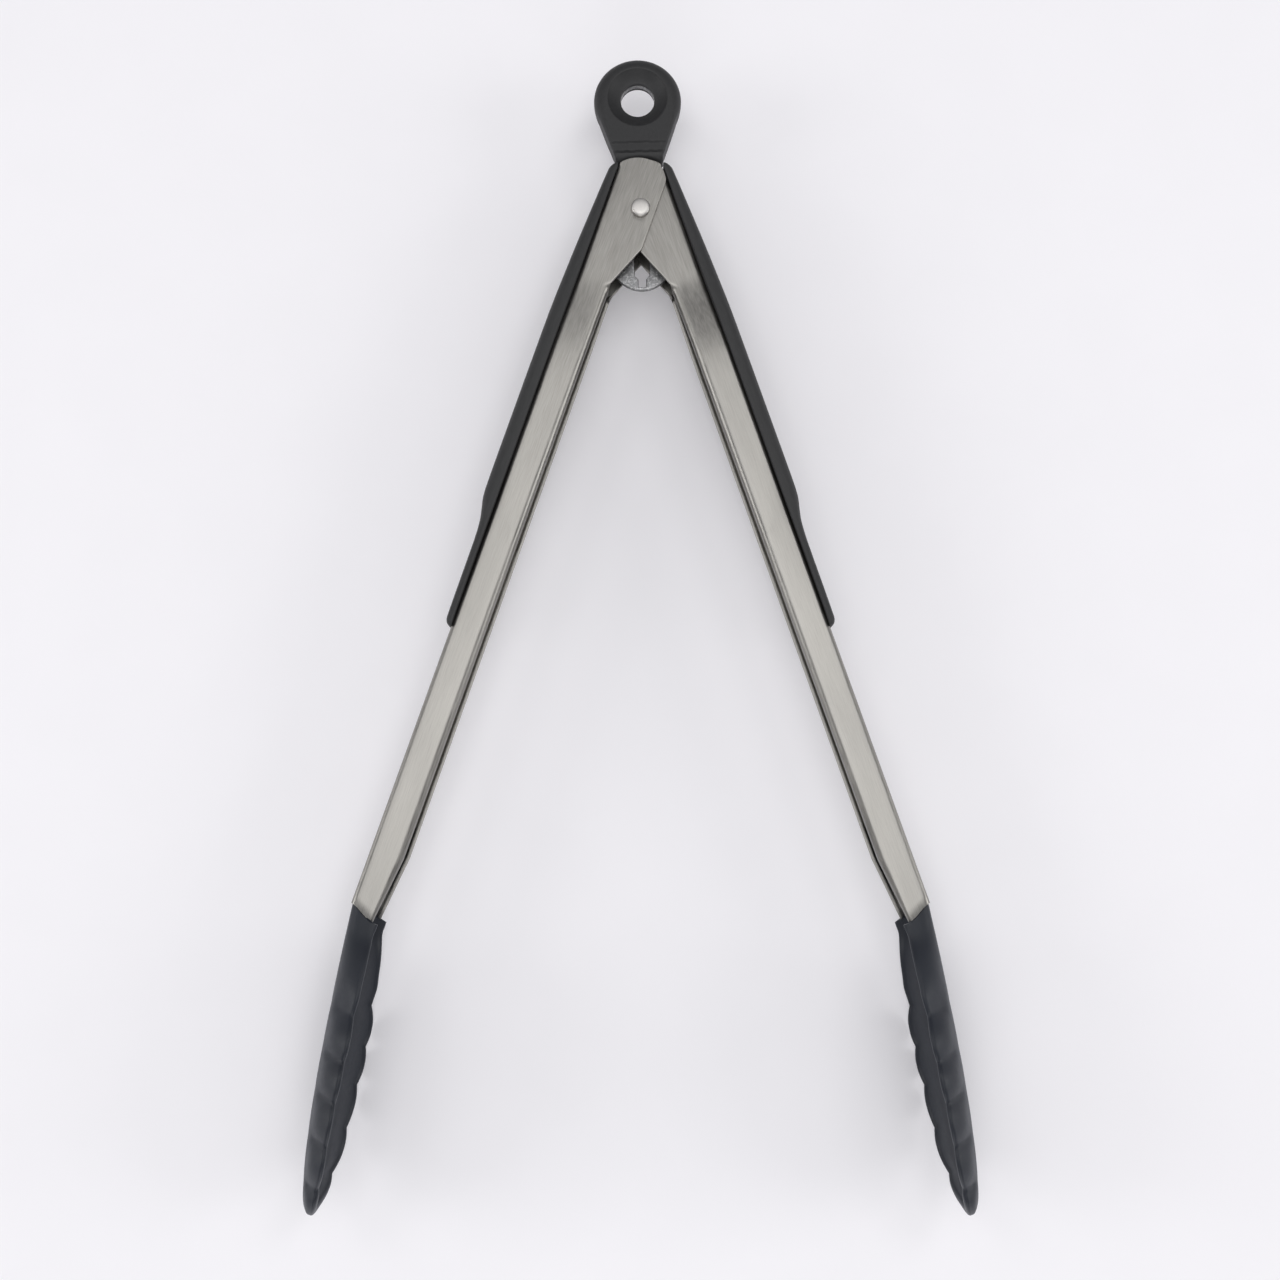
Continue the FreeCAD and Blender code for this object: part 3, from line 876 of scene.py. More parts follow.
# ---------------------------------------------------------------- heads
@dataclass(frozen=True)
class Scallop:
    """One scallop of a head's rim, from the valley above it to the one below."""

    start: Flat
    crest: Flat
    end: Flat

    def half_at(self, y: float) -> float:
        """How far out the rim is: a round arc through the crest between the two valleys."""
        (y0, z0), (y1, z1), (y2, z2) = self.start, self.crest, self.end
        return (z0 * (y - y1) * (y - y2) / ((y0 - y1) * (y0 - y2))
                + z1 * (y - y0) * (y - y2) / ((y1 - y0) * (y1 - y2))
                + z2 * (y - y0) * (y - y1) / ((y2 - y0) * (y2 - y1)))

    def middle(self, y: float) -> float:
        """0 at both valleys, 1 in the middle of the scallop."""
        t = (self.start[0] - y) / (self.start[0] - self.end[0])
        return 1 - abs(2 * t - 1) ** 2.2


@dataclass
class Head:
    """A silicone scoop with a scalloped rim, on the end of an arm."""

    side: Side
    shell: float = 3.1
    rim: float = 1.7              # thickness of the rim
    collar: float = -215.0
    tip: float = -300.2
    slant: float = 3.0
    relief: float = 1.5           # depth of the creases that run in from the valleys
    crease_from: Flat = (-226.0, -240.0)  # where the creases fade in
    tip_from: float = -291.0              # where the last valley turns into the tip
    edge_share: float = 0.45              # the rounded rim's height for its thickness
    inner_square: float = 0.45            # how much rounder the inside is than the outside
    channel: Flat = (10.4, 7.6)           # the arm's back and how far its lips are from it
    deepest: float = 20.0                 # half the head's width, which nothing passes
    lip_angles: tuple[float, ...] = (30, 60, 90, 120, 150)
    columns: int = 44
    backs: Run = Run((
        (-215.0, -10.4), (-221.0, -9.7), (-229.0, -8.7), (-238.0, -7.4), (-249.0, -5.7), (-260.5, -3.8),
        (-272.0, -1.7), (-283.0, 0.6), (-291.0, 2.6), (-296.5, 4.3), (-300.2, 6.2)))
    rims: Run = Run((
        (-215.0, -0.9), (-218.5, -1.2), (-223.0, -0.6), (-229.0, 0.4), (-238.0, 2.2),
        (-249.0, 4.0), (-260.5, 5.6), (-272.0, 7.1), (-283.0, 8.5), (-291.0, 9.1), (-296.5, 9.2),
        (-300.2, 8.7)))
    neck: Run = Run((
        (-215.0, 8.5), (-221.0, 9.9), (-229.0, 13.3), (-234.0, 15.0), (-238.5, 16.2), (-243.0, 15.9)))
    halves: Run = Run((
        (-215.0, 8.6), (-221.0, 9.6), (-229.0, 13.2), (-238.0, 16.6), (-249.0, 18.9), (-260.5, 20.0),
        (-272.0, 18.9), (-283.0, 16.0), (-291.0, 12.6), (-296.5, 8.9), (-300.2, 4.0)))
    square: Run = Run((
        (-215.0, 7.0), (-221.0, 5.0), (-229.0, 3.6), (-238.0, 3.1), (-249.0, 2.9), (-260.5, 2.85),
        (-300.2, 2.8)))
    scallops: tuple[Scallop, ...] = (
        Scallop((-243.0, 15.9), (-249.5, 19.1), (-255.0, 18.3)),
        Scallop((-255.0, 18.3), (-260.5, 20.0), (-266.0, 18.0)),
        Scallop((-266.0, 18.0), (-272.0, 18.7), (-278.0, 16.0)),
        Scallop((-278.0, 16.0), (-285.0, 15.3), (-291.0, 10.8)))

    def outline(self, y: float) -> float:
        """Half the width of the rim's scalloped outline."""
        if y >= self.scallops[0].start[0]:
            return self.neck.at(y)
        for scallop in self.scallops:
            if y >= scallop.end[0]:
                return scallop.half_at(y)
        last = self.scallops[-1].end
        t = min(1.0, max(0.0, (last[0] - y) / (last[0] - self.tip)))
        return last[1] * (1 - t ** 2.1) ** 0.62

    def swell(self, y: float) -> float:
        """How far the wall is out of a valley's crease: 0 in it, 1 halfway to the next."""
        first = self.scallops[0].start[0]
        if y >= first:
            return smooth(first, first + 11.0, y)
        for scallop in self.scallops:
            if y >= scallop.end[0]:
                return scallop.middle(y)
        return 1 - (1 - smooth(self.tip_from, self.tip_from - 5.0, y)) ** 2

    def rim_at(self, y: float) -> float:
        """Where the rim is across the arm: the trough cut at the scalloped outline."""
        share = min(1.0, self.outline(y) / self.halves.at(y)) ** self.square.at(y)
        share += (1 - share) * (0.68 + 0.32 * smooth(self.tip_from, self.tip_from - 5.5, y))
        return self.backs.at(y) + (self.rims.at(y) - self.backs.at(y)) * share

    def wall_point(self, y: float, share: float, depth: float) -> Point:
        """A point of the outer skin, or of the inner one.

        Args:
            y: Where along the arm.
            share: From -1 at one rim through 0 at the back to 1 at the other rim.
            depth: 0 on the outside, 1 on the inside.

        Returns:
            The point in the closed left arm.
        """
        place = y + depth * self.shell * smooth(-282.0, self.tip, y)
        out, back, rim = self.outline(y), self.backs.at(y), self.rim_at(y)
        narrow = min(1.0, out / (self.rim + 2.5))
        side_on = abs(share)
        thick = self.rim + (self.shell + 0.6 - self.rim) * smooth(1.0, 0.70, side_on)
        reach = out - depth * thick * narrow
        low = back + depth * self.shell * (1 - 0.72 * smooth(-288.0, self.tip, y))
        crease = self.relief * smooth(0.56, 0.80, side_on) * (1 - 0.5 * smooth(0.8, 1.0, side_on))
        crease *= (0.5 - self.swell(y)) * (1 - depth) * smooth(*self.crease_from, y)
        z = reach * share
        power = self.square.at(y) - self.inner_square * depth
        x = low + (rim - self.rim * self.edge_share - low) * side_on ** power
        steep = 1.0 - 0.35 * smooth(0.9, 0.4, side_on)
        z -= crease * steep * (1 if share > 0 else -1)
        x += crease * (1 - steep) * 2
        lean = smooth(-230.0, self.collar, y)
        across = (x + self.channel[0]) / self.channel[1]
        z = max(-self.deepest, min(self.deepest, z))
        return x, place - self.slant * lean * smooth(0.0, 1.0, across), z

    def section(self, y: float) -> list[Point]:
        """The closed section: outside, one rim, inside, the other rim."""
        shares = [sin(radians(90 * s)) * 0.35 + s * 0.65 for s in steps(-1.0, 1.0, self.columns)]
        outer = [self.wall_point(y, s, 0.0) for s in shares]
        inner = [self.wall_point(y, s, 1.0) for s in reversed(shares)]
        loop = list(outer)
        loop += self.lip(outer[-1], inner[0])
        loop += inner
        loop += self.lip(inner[-1], outer[0])
        return loop

    def lip(self, start: Point, end: Point) -> list[Point]:
        """The rounded rim between the two skins."""
        points = []
        rise = self.rim * self.edge_share
        for angle in self.lip_angles:
            t = (1 - cos(radians(angle))) / 2
            lift = rise * sin(radians(angle))
            points.append((start[0] + (end[0] - start[0]) * t + lift, start[1] + (end[1] - start[1]) * t,
                           start[2] + (end[2] - start[2]) * t))
        return points

    def stations(self) -> list[float]:
        """Where the section is drawn, along the arm, with one at every valley."""
        places = [self.collar - 0.3] + steps(-217.0, -243.0, 20)
        for scallop in self.scallops:
            places += steps(scallop.start[0], scallop.end[0], 12)[1:]
        last = self.scallops[-1].end[0]
        return places + [last + (self.tip - last) * sin(radians(a)) for a in steps(0.0, 90.0, 12)[1:]]

    def build(self) -> bpy.types.Object:
        """Moulds the head and hands it over."""
        place = on_arm(self.side)
        rows = [[place(*point) for point in self.section(y)] for y in self.stations()]
        bm = net(rows, loop=True)
        edge = [e for e in bm.edges if e.is_boundary]
        bmesh.ops.holes_fill(bm, edges=edge, sides=0)
        bmesh.ops.recalc_face_normals(bm, faces=bm.faces)
        piece = new_piece(self.side.word + "_head_silicone", bm)
        settle(piece, 60.0)
        dress(piece, Silicone(f"silicone_head_{self.side.word}", self.side.turn))
        return hand_over(piece, self.side.body, "tip_silicone", self.side.word + "_tip_cover")


@dataclass
class TipCore:
    """The stiff blade inside a head's wall, and the tang that fills the end of the channel."""

    head: Head
    span: Flat = (-218.0, -292.0)
    reach: float = 0.62           # how far towards the rims the blade goes
    skins: Flat = (0.36, 0.64)
    low: Point = (-9.4, -219.0, -6.2)
    high: Point = (-6.4, -190.0, 6.2)

    def build(self) -> bpy.types.Object:
        """Moulds the blade and its tang and hands them over."""
        side, place = self.head.side, on_arm(self.head.side)
        shares = steps(-self.reach, self.reach, 16)
        outer, inner = self.skins
        rows = [[place(*self.head.wall_point(y, s, outer)) for s in shares]
                + [place(*self.head.wall_point(y, s, inner)) for s in reversed(shares)]
                for y in steps(*self.span, 24)]
        bm = net(rows, loop=True, caps=True)
        corners = [bm.verts.new(place(x, y, z)) for z in (self.low[2], self.high[2])
                   for x, y in ((self.low[0], self.low[1]), (self.high[0], self.low[1]),
                                (self.high[0], self.high[1]), (self.low[0], self.high[1]))]
        for ring in ((3, 2, 1, 0), (4, 5, 6, 7), (0, 1, 5, 4), (1, 2, 6, 5), (2, 3, 7, 6), (3, 0, 4, 7)):
            bm.faces.new([corners[number] for number in ring])
        bmesh.ops.recalc_face_normals(bm, faces=bm.faces)
        piece = new_piece(side.word + "_tip_core_nylon", bm)
        soften(piece, 0.5, 3, 50.0)
        settle(piece)
        dress(piece, MouldedNylon("stiff_tip_nylon", (0.035, 0.038, 0.043)))
        return hand_over(piece, side.body, "tip_nylon", side.word + "_tip_core")


@dataclass
class TipRivet:
    """The small rivet that holds a head's tang to the arm's back."""

    side: Side
    y: float = -203.0
    back: float = -10.4
    outline: tuple[Flat, ...] = (
        (0.0, 3.0), (1.5, 3.0), (1.5, 0.0), (2.5, 0.0), (2.6, -0.1), (2.55, -0.3), (2.2, -0.52),
        (1.6, -0.7), (0.9, -0.78), (0.0, -0.8))

    def build(self) -> bpy.types.Object:
        """Turns the rivet and hands it over."""
        place = on_arm(self.side)
        piece = turned_piece(self.side.word + "_tip_rivet_steel", self.outline,
                             lambda a, b, h: place(self.back + h, self.y + a, b), 36)
        dress(piece, RIVET_STEEL)
        return hand_over(piece, self.side.body, "rivet_steel", self.side.word + "_tip_rivet")


# ---------------------------------------------------------------- pivot
@dataclass
class PivotRivet:
    """The pivot rivet, formed over at both ends."""

    seat: float = 6.85
    shank: float = 2.0
    head: tuple[Flat, ...] = (
        (2.60, 0.0), (2.75, 0.10), (2.75, 0.45), (2.66, 0.82), (2.45, 1.09), (2.10, 1.26), (1.55, 1.35),
        (0.80, 1.39), (0.0, 1.4))

    def build(self) -> bpy.types.Object:
        """Turns the rivet and hands it over."""
        low = [(r, -self.seat - h) for r, h in reversed(self.head)]
        high = [(r, self.seat + h) for r, h in self.head]
        outline = low + [(self.shank, -self.seat), (self.shank, self.seat)] + high
        piece = turned_piece("pivot_rivet_steel", outline, on_pivot, 64)
        dress(piece, RIVET_STEEL)
        return hand_over(piece, "pivot", "rivet_steel", "pivot_rivet")


@dataclass
class Springs:
    """The two torsion springs round the rivet, each a coil and two legs against the arms' backs."""

    wire: float = 1.0
    radius: float = 3.65
    rise: float = 2.69            # first turn to last, in depth
    clear: float = 1.4            # middle of the plate to the middle of the nearest turn
    foot: Flat = (-8.8, -27.0)
    shared: float = 22.0          # a leg's arc that lies in the coil's last turn, in degrees
    held: float = 30.0            # the coil stops this far short of the legs, in degrees
    whole_turns: int = 2
    coil_steps: int = 170
    leg_steps: int = 14
    sides: int = 14

    def tree(self) -> bpy.types.GeometryNodeTree:
        """The node tree that lays a wire along an arc and, if asked, a straight leg."""
        tree = bpy.data.node_groups.new("bent_wire", "GeometryNodeTree")
        for name, kind in (("Radius", "Float"), ("Wire Radius", "Float"), ("Start Angle", "Float"),
                           ("Sweep", "Float"), ("Base", "Float"), ("Rise", "Float"), ("Steps", "Int"),
                           ("Sides", "Int"), ("Centre", "Vector"), ("With Leg", "Bool"),
                           ("Leg Start", "Vector"), ("Leg End", "Vector"), ("Finish", "Material")):
            tree.interface.new_socket(name, in_out="INPUT", socket_type="NodeSocket" + kind)
        tree.interface.new_socket("Geometry", in_out="OUTPUT", socket_type="NodeSocketGeometry")
        given = tree.nodes.new("NodeGroupInput").outputs

        def add(kind: str, inputs: dict[object, object] | None = None, **settings: object) -> bpy.types.Node:
            """Adds a node with these attributes and inputs."""
            made = tree.nodes.new(kind)
            for key, value in settings.items():
                setattr(made, key, value)
            for key, value in (inputs or {}).items():
                feed(made.inputs[key], value)
            return made

        def sums(kind: str, *terms: bpy.types.NodeSocket) -> bpy.types.NodeSocket:
            """One step of arithmetic."""
            return add("ShaderNodeMath", dict(enumerate(terms)), operation=kind).outputs[0]

        along = add("GeometryNodeSplineParameter").outputs["Factor"]
        angle = sums("ADD", given["Start Angle"], sums("MULTIPLY", given["Sweep"], along))
        spot = add("ShaderNodeCombineXYZ", {
            0: sums("MULTIPLY", given["Radius"], sums("COSINE", angle)),
            1: sums("MULTIPLY", given["Radius"], sums("SINE", angle)),
            2: sums("ADD", given["Base"], sums("MULTIPLY", given["Rise"], along))})
        shifted = add("ShaderNodeVectorMath", {0: spot.outputs[0], 1: given["Centre"]}, operation="ADD")
        line = add("GeometryNodeCurvePrimitiveLine")
        cut = add("GeometryNodeResampleCurve", {"Curve": line.outputs[0], "Count": given["Steps"]})
        bent = add("GeometryNodeSetPosition", {"Geometry": cut.outputs[0], "Position": shifted.outputs[0]})
        leg = add("GeometryNodeCurvePrimitiveLine", {"Start": given["Leg Start"], "End": given["Leg End"]})
        choice = add("GeometryNodeSwitch", {"Switch": given["With Leg"]}, input_type="GEOMETRY")
        feed(choice.inputs["True"], leg.outputs[0])
        both = add("GeometryNodeJoinGeometry")
        for part in (bent, choice):
            feed(both.inputs[0], part.outputs[0])
        ring = add("GeometryNodeCurvePrimitiveCircle", {
            "Resolution": given["Sides"], "Radius": given["Wire Radius"]})
        tube = add("GeometryNodeCurveToMesh", {
            "Curve": both.outputs[0], "Profile Curve": ring.outputs[0], "Fill Caps": True})
        real = add("GeometryNodeRealizeInstances", {0: tube.outputs[0]})
        painted = add("GeometryNodeSetMaterial", {"Geometry": real.outputs[0], "Material": given["Finish"]})
        add("NodeGroupOutput", {0: painted.outputs[0]})
        return tree

    def wire_piece(self, name: str, tree: bpy.types.GeometryNodeTree,
                   sizes: dict[str, object]) -> bpy.types.Object:
        """One wire laid by the tree.

        Args:
            name: The piece's name.
            tree: The node tree.
            sizes: Its inputs, by name.

        Returns:
            The piece, a plain mesh.
        """
        piece = new_piece(name, bmesh.new())
        laid = piece.modifiers.new("wire", "NODES")
        laid.node_group = tree
        keys = {item.name: item.identifier for item in tree.interface.items_tree if item.in_out == "INPUT"}
        for key, value in sizes.items():
            laid[keys[key]] = value
        return settle(piece, 60.0)

    def build(self) -> list[bpy.types.Object]:
        """Winds both springs and hands them over."""
        finish = SatinMetal("drawn_spring_wire", (0.62, 0.61, 0.60), 0.28)
        metal = finish.build()
        tree = self.tree()
        foot = spun(*self.foot, -OPEN_ANGLE)
        reach = hypot(*foot)
        start = degrees(atan2(foot[1], foot[0]) - asin(1) + asin(self.radius / reach)) % 360
        sweep = 2 * (start - 90) % 360 + 360 * self.whole_turns
        made = []
        for name, low in (("front", self.clear), ("back", -self.clear - self.rise)):
            shared = {"Radius": self.radius * MM, "Wire Radius": self.wire * MM / 2, "Sides": self.sides,
                      "Centre": PIVOT, "Finish": metal}
            turn = self.rise / sweep
            coil = dict(shared, **{"Start Angle": radians(start - self.held), "With Leg": False,
                                   "Steps": self.coil_steps, "Sweep": radians(-(sweep - 2 * self.held)),
                                   "Base": (low + turn * self.held) * MM,
                                   "Rise": (self.rise - 2 * turn * self.held) * MM})
            piece = self.wire_piece(f"spring_coil_{name}", tree, coil)
            made.append(hand_over(piece, "pivot", "spring_steel", f"torsion_spring_{name}"))
            for side, angle, level in ((Side.LEFT, start, low), (Side.RIGHT, 180 - start, low + self.rise)):
                way = side.value
                arc_sweep = way * (self.held + self.shared)
                begin = on_pivot(*arc((0, 0), self.radius, angle, angle, 1)[0], level)
                end = on_pivot(-way * foot[0], foot[1], level)
                leg = dict(shared, **{"Start Angle": radians(angle), "Steps": self.leg_steps,
                                      "With Leg": True, "Sweep": radians(arc_sweep), "Base": level * MM,
                                      "Rise": -way * turn * abs(arc_sweep) * MM,
                                      "Leg Start": begin, "Leg End": end})
                piece = self.wire_piece(f"spring_leg_{name}_{side.word}", tree, leg)
                made.append(hand_over(piece, side.body, "spring_steel"))
        return made


# ---------------------------------------------------------------- the slide
@dataclass
class LockPlate:
    """The sliding plate: a round end with a stepped slot, a neck, a stem and the hang ring."""

    half: float = 0.8
    disc: Flat = (-13.4, 9.0)
    neck: Flat = (5.7, 10.5)
    stem: float = 5.2
    ring: tuple[float, float, float] = (34.5, 8.4, 4.85)
    slot: Flat = (2.15, 0.15)
    relief: Flat = (1.15, -21.4)  # half width and end of the slot's narrow part
    shoulder: Flat = (4.6, 1.1)   # the slot narrows this far below the disc's middle, over this much
    neck_slope: float = 2.0       # how far the neck takes to narrow to the stem
    edge: float = 0.25            # rounding of the plate's edges

    def outlines(self) -> list[list[Flat]]:
        """The plate's edge, its slot and its hole, each a closed run of points."""
        y, radius = self.disc
        neck, neck_top = self.neck
        hole_y, ring, hole = self.ring
        low = degrees(asin(neck / radius))
        round_end = arc((0, y), radius, 90 - low, 90 - low - (360 - 2 * low), 72)
        wide = degrees(asin(self.stem / ring))
        round_top = arc((0, hole_y), ring, 270 - wide, 270 - wide - (360 - 2 * wide), 64)
        left_neck = [(-neck, neck_top), (-self.stem, neck_top + self.neck_slope)]
        edge = round_end + left_neck + round_top + [(-x, y) for x, y in reversed(left_neck)]
        half, top = self.slot
        drop, slope = self.shoulder
        shoulder = self.disc[0] - drop
        narrow, bottom = self.relief
        left_slot = [(-half, shoulder), (-narrow, shoulder - slope), (-narrow, bottom)]
        slot = arc((0, top), half, 0, 180, 20) + left_slot + [(-x, y) for x, y in reversed(left_slot)]
        return [edge, slot, arc((0, hole_y), hole, 0, 354, 59)]

    def build(self) -> bpy.types.Object:
        """Stamps the plate and hands it over."""
        curve = bpy.data.curves.new("plate_outline", "CURVE")
        curve.dimensions = "2D"
        curve.fill_mode = "BOTH"
        for outline in self.outlines():
            spline = curve.splines.new("POLY")
            spline.points.add(len(outline) - 1)
            for spot, (x, y) in zip(spline.points, outline):
                spot.co = (x * MM, y * MM, 0, 1)
            spline.use_cyclic_u = True
        curve.extrude = (self.half - self.edge) * MM
        curve.bevel_depth = self.edge * MM
        curve.bevel_resolution = 2
        curve.offset = -self.edge * MM
        drawn = bpy.data.objects.new("plate_outline", curve)
        bpy.context.scene.collection.objects.link(drawn)
        mesh = shown_mesh(drawn)
        bpy.data.objects.remove(drawn)
        bm = bmesh.new()
        bm.from_mesh(mesh)
        bpy.data.meshes.remove(mesh)
        bmesh.ops.remove_doubles(bm, verts=bm.verts, dist=1e-6)
        bmesh.ops.recalc_face_normals(bm, faces=bm.faces)
        # Flat faces get the painted dark reflection; the edges and their rounds get a bright colour that
        # paints the highlight they catch.
        for face in bm.faces:
            face.material_index = 0 if abs(face.normal.z) > 0.9 else 1
        for vert in bm.verts:
            vert.co = on_slide(vert.co.x / MM, vert.co.y / MM, vert.co.z / MM)
        piece = new_piece("lock_plate_steel", bm)
        # The first finish paints the plate's dark reflection, the second paints the edges' highlight.
        dress(piece, TumbledSteel("scuffed_plate_painted_dark_reflection"),
              SatinMetal("plate_edge_painted_highlight", (0.88, 0.88, 0.87), 0.34))
        piece.data.shade_smooth()
        piece.data.set_sharp_from_angle(angle=radians(30))
        return hand_over(piece, "lock_slide", "plate_steel", "lock_plate")


@dataclass
class PullTab:
    """The soft pull tab: a round head dished about the hang hole, and a tapering hollow-ended base."""

    hole_y: float = 34.5
    radius: float = 12.4
    base: Flat = (7.1, 17.2)
    hollow: float = 16.4
    half: float = 4.4
    hole: float = 5.0
    dish: float = 8.6
    waist: float = 2.1
    fillet: float = 1.3           # rounding of the base's edges
    end_fillet: float = 1.1       # rounding of the hollow end's edge
    round: float = 3.7            # rounding of the head's edge
    wide: float = 1.035           # the head's width for its height
    grooves: tuple[Point, ...] = (        # where each step down starts and ends, and how deep it is then
        (21.2, 20.7, 0.40), (18.6, 18.0, 0.9), (18.0, 15.0, 1.9))
    horn: Flat = (0.9, 1.9)       # how far in and down the base's corners end
    turns: int = 168
    edge_angles: tuple[float, ...] = (12, 24, 36, 48, 60, 70, 80, 90)

    def outline(self) -> list[Flat]:
        """The tab's edge seen face on, anticlockwise from the right of its head."""
        half, base_y = self.base
        drop = self.hole_y - base_y
        lean = degrees(atan2(half, drop) + asin(self.radius / hypot(half, drop))) - 90
        head = [(x * (1 + (self.wide - 1) * smooth(base_y, self.hole_y, y)), y)
                for x, y in arc((0, self.hole_y), self.radius, lean, 180 - lean, 90)]
        horn = half - 1.0
        horn_y = sqrt(self.hollow ** 2 - horn ** 2)
        spread = degrees(asin(horn / self.hollow))
        left_horn = [(-half, base_y), (-half + 0.06, base_y - 1.3), (-half + 0.22, horn_y + 0.5),
                     (-half + 0.55, horn_y + 0.1)]
        bottom = arc((0, 0), self.hollow, 90 + spread, 90 - spread, 24)
        return head + left_horn + bottom + [(-x, y) for x, y in reversed(left_horn)]

    def reach(self, angle: float, edge: list[Flat]) -> float:
        """How far the edge is from the hang hole's centre in one direction.

        Args:
            angle: The direction, in radians.
            edge: The tab's edge.

        Returns:
            The distance, in millimetres.
        """
        dx, dy = cos(angle), sin(angle)
        best = 0.0
        for (x1, y1), (x2, y2) in zip(edge, edge[1:] + edge[:1]):
            ax, ay, bx, by = x1, y1 - self.hole_y, x2 - x1, y2 - y1
            cross = dx * by - dy * bx
            if abs(cross) > 1e-12:
                t = (ax * by - ay * bx) / cross
                u = (ax * dy - ay * dx) / cross
                if t > 0 and -1e-9 <= u <= 1 + 1e-9:
                    best = max(best, t)
        return best

    def profile(self, reach: float, hollow_end: bool, share: float) -> list[Flat]:
        """From the hole's waist, up the dish and over the face to the edge, front half.

        Args:
            reach: The distance of the edge.
            hollow_end: Whether this is the base's hollow end, which has a smaller rounding.
            share: 1 on the head, 0 on the base.

        Returns:
            Distances from the hole's centre and heights.
        """
        fillet = self.end_fillet if hollow_end else self.fillet + (self.round - self.fillet) * share
        points = [(self.hole, 0.0), (self.hole, self.waist * 0.7), (self.hole + 0.05, self.waist)]
        for t in steps(0.0, 1.0, 14)[1:]:
            points.append((self.hole + (self.dish - self.hole) * t,
                           self.waist + (self.half - 0.22 - self.waist) * t ** 1.45))
        points += [(self.dish + 0.12, self.half - 0.07), (self.dish + 0.34, self.half)]
        points += [(d, self.half) for d in steps(self.dish + 0.4, max(reach - fillet, self.dish + 0.45), 14)]
        width = reach - points[-1][0]
        points += [(reach - width + width * sin(radians(a)), self.half - fillet + fillet * cos(radians(a)))
                   for a in self.edge_angles]
        return points

    def step_down(self, y: float) -> float:
        """How much the base's face has stepped down at one height."""
        drop = before = 0.0
        for high, low, depth in self.grooves:
            if y < high:
                drop = max(drop, before + (depth - before) * smooth(high, low, y))
            before = depth
        return drop

    def build(self) -> bpy.types.Object:
        """Moulds the tab and hands it over."""
        edge = self.outline()
        half, base_y = self.base
        corner = atan2(-(self.hole_y - base_y + self.horn[1]), half - self.horn[0]) % (2 * pi)
        angles = [2 * pi * n / self.turns for n in range(self.turns)]
        angles += [atan2(y - self.hole_y, x) % (2 * pi) for x, y in edge if y < base_y + 0.1]
        angles = sorted(set(round(a, 6) for a in angles))
        rows = []
        for angle in angles:
            reach = self.reach(angle, edge)
            hollow_end = abs(angle - 1.5 * pi) < abs(corner - 1.5 * pi)
            front = self.profile(reach, hollow_end, smooth(-0.75, 0.1, sin(angle)))
            loop = front + [(r, -z) for r, z in reversed(front[1:])]
            rows.append([Vector((r * cos(angle), self.hole_y + r * sin(angle), z)) for r, z in loop])
        rows.append(rows[0])
        bm = net(rows, loop=True)
        for y_high, y_low, _ in self.grooves:
            for y in (y_high, y_low):
                geometry = list(bm.verts) + list(bm.edges) + list(bm.faces)
                bmesh.ops.bisect_plane(bm, geom=geometry, plane_co=(0, y, 0), plane_no=(0, 1, 0), dist=1e-5)
        for vert in bm.verts:
            vert.co.z *= 1 - self.step_down(vert.co.y) / self.half
            vert.co = on_slide(vert.co.x, vert.co.y, vert.co.z)
        bmesh.ops.recalc_face_normals(bm, faces=bm.faces)
        piece = new_piece("pull_tab_rubber", bm)
        settle(piece, 32.0)
        dress(piece, SoftRubber("rubber_pull_tab", (0.014, 0.014, 0.0148), TAB_LEAN, grain=1900.0, along=1.6,
                                roughness=0.55, depth=0.035))
        return hand_over(piece, "lock_slide", "tab_rubber", "tab_cover")


# ---------------------------------------------------------------- pieces kept as they are
def dress_nodes() -> None:
    """Gives the small moulded pieces that stay as packed their own finishes."""
    insert = MouldedNylon("hard_moulded_insert", (0.05, 0.05, 0.052))
    bush = MouldedNylon("natural_bush_nylon", (0.62, 0.60, 0.54))
    kept = {"tab_core": insert, "spring_bush_front": bush, "spring_bush_back": bush}
    for side in Side:
        kept[side.word + "_grip_carrier"] = insert
    for name, finish in kept.items():
        dress(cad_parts[name], finish)
        LOG.info("%s keeps its packed shape", name)


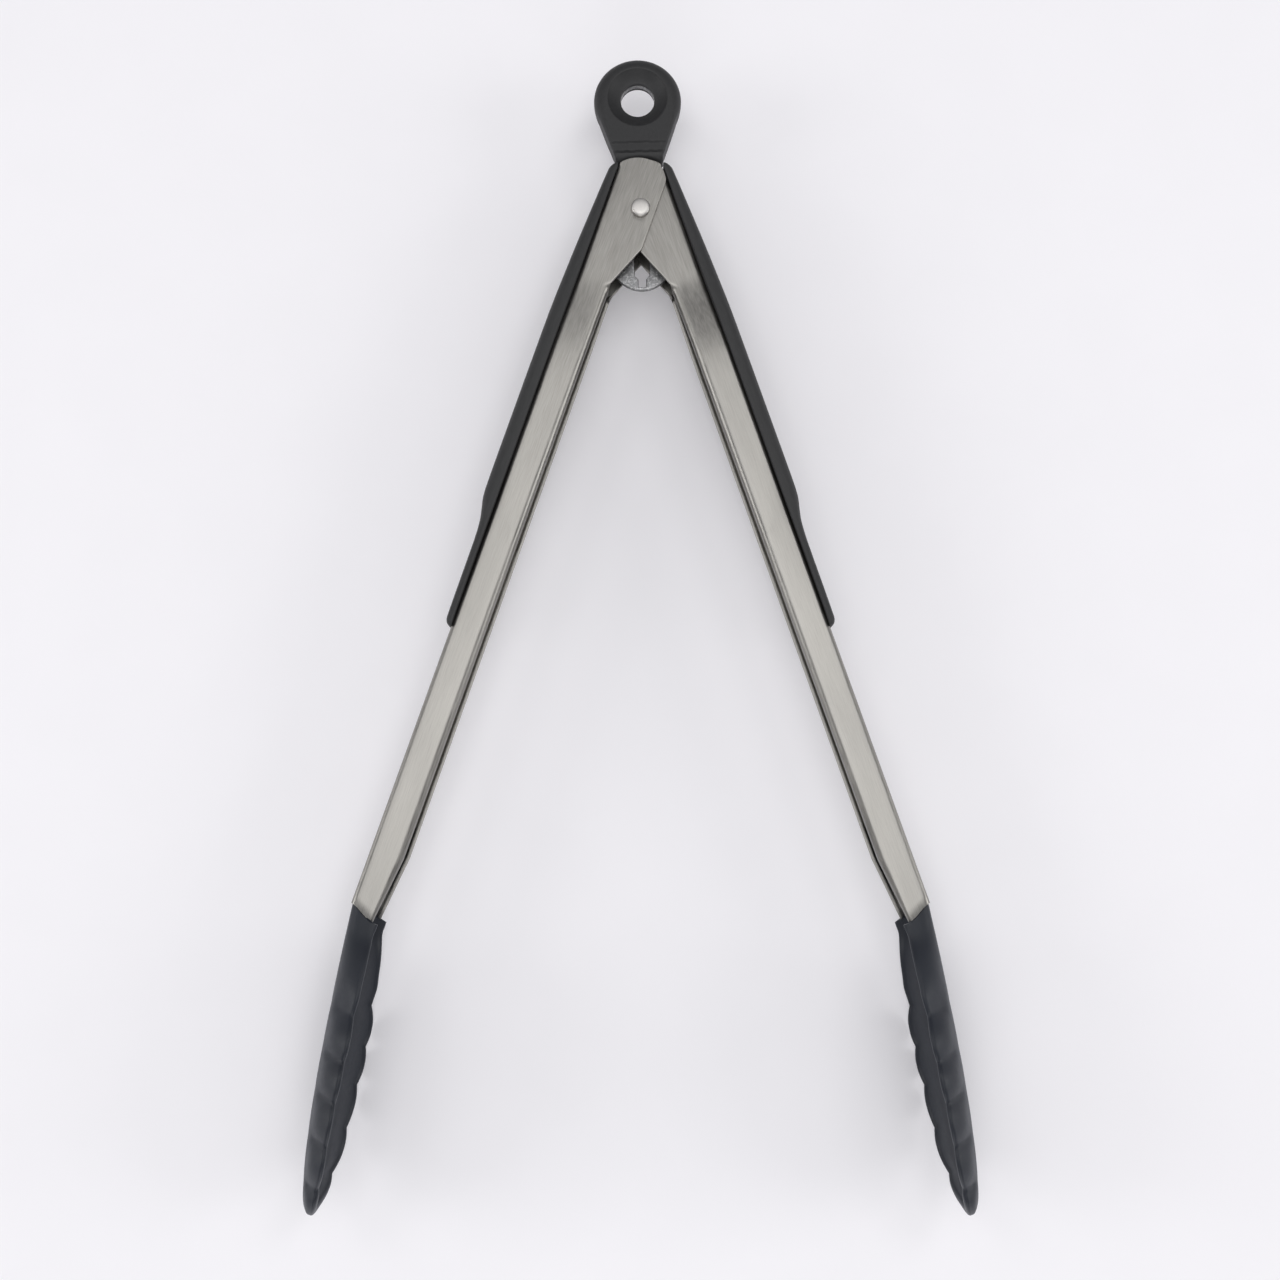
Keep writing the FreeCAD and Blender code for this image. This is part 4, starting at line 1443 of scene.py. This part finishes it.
# ---------------------------------------------------------------- the set
@dataclass
class Studio:
    """A pale floor, soft lights and the camera."""

    floor: Point = (0.93, 0.915, 0.94)
    floor_half: float = 2.5
    sky: float = 0.40
    height: float = 0.468
    tilt: float = 5.0
    behind: float = -0.18067
    lens: float = 46.18
    aside: float = -0.00017
    rise: float = 0.03984375      # how far the lens is shifted up, in widths of the view

    def lay_floor(self) -> None:
        """The surface that the tongs lie on."""
        bm = bmesh.new()
        bmesh.ops.create_grid(bm, x_segments=1, y_segments=1, size=self.floor_half)
        floor = new_piece("studio_floor", bm)
        bench = Bench("pale_paper")
        grain = bench.noise(bench.local(0.0, (40.0, 40.0, 40.0)), detail=2.0)
        bench.shade(Base_Color=bench.tones(grain, self.floor, 0.99), Roughness=0.85)
        floor.data.materials.append(bench.material)

    def light(self, name: str, place: Point, size: float, power: float, aim: Point = (0, 0, 0.02)) -> None:
        """One soft area light.

        Args:
            name: Its name.
            place: Where it hangs, in metres.
            size: Its width.
            power: Watts.
            aim: What it points at.
        """
        data = bpy.data.lights.new(name, "AREA")
        data.shape = "DISK"
        data.size = size
        data.energy = power
        lamp = bpy.data.objects.new(name, data)
        lamp.location = place
        lamp.rotation_euler = (Vector(aim) - Vector(place)).to_track_quat("-Z", "Y").to_euler()
        bpy.context.scene.collection.objects.link(lamp)

    def build(self) -> None:
        """Sets the floor, the lights, the sky and the camera."""
        scene = bpy.context.scene
        self.lay_floor()
        world = bpy.data.worlds.new("pale_room")
        world.use_nodes = True
        sky = world.node_tree.nodes["Background"]
        sky.inputs["Color"].default_value = (0.96, 0.965, 1.0, 1.0)
        sky.inputs["Strength"].default_value = self.sky
        scene.world = world
        self.light("overhead", (0.0, -0.02, 1.5), 1.25, 8.0, (0.0, -0.02, 0.0))
        self.light("left", (-1.3, -0.05, 0.55), 0.7, 4.0)
        self.light("right", (1.3, -0.05, 0.55), 0.7, 4.0)
        self.light("front", (0.0, -1.4, 0.5), 0.8, 4.0)
        self.light("upper left", (-0.8, 0.62, 1.35), 0.5, 1.3)
        self.light("upper right", (0.68, 0.62, 1.35), 0.5, 1.8)
        scene.view_settings.view_transform = "Standard"
        data = bpy.data.cameras.new("camera")
        data.lens = self.lens
        data.sensor_width = 36.0
        data.shift_y = self.rise
        data.clip_start = 0.01
        camera = bpy.data.objects.new("camera", data)
        camera.location = PIVOT + Vector((self.aside, self.behind, self.height))
        camera.rotation_euler = (radians(self.tilt), 0, 0)
        scene.collection.objects.link(camera)
        scene.camera = camera


def main() -> None:
    """Builds the tongs piece by piece, then the set."""
    logging.basicConfig(level=logging.INFO, format="%(name)s: %(message)s")
    Studio().build()
    for side, ear_half in ((Side.LEFT, 6.8), (Side.RIGHT, 5.7)):
        Arm(side, ear_half).build()
        Grip(side).build()
        head = Head(side)
        head.build()
        TipCore(head).build()
        TipRivet(side).build()
    PivotRivet().build()
    Springs().build()
    LockPlate().build()
    PullTab().build()
    dress_nodes()


if __name__ == "__main__":
    main()
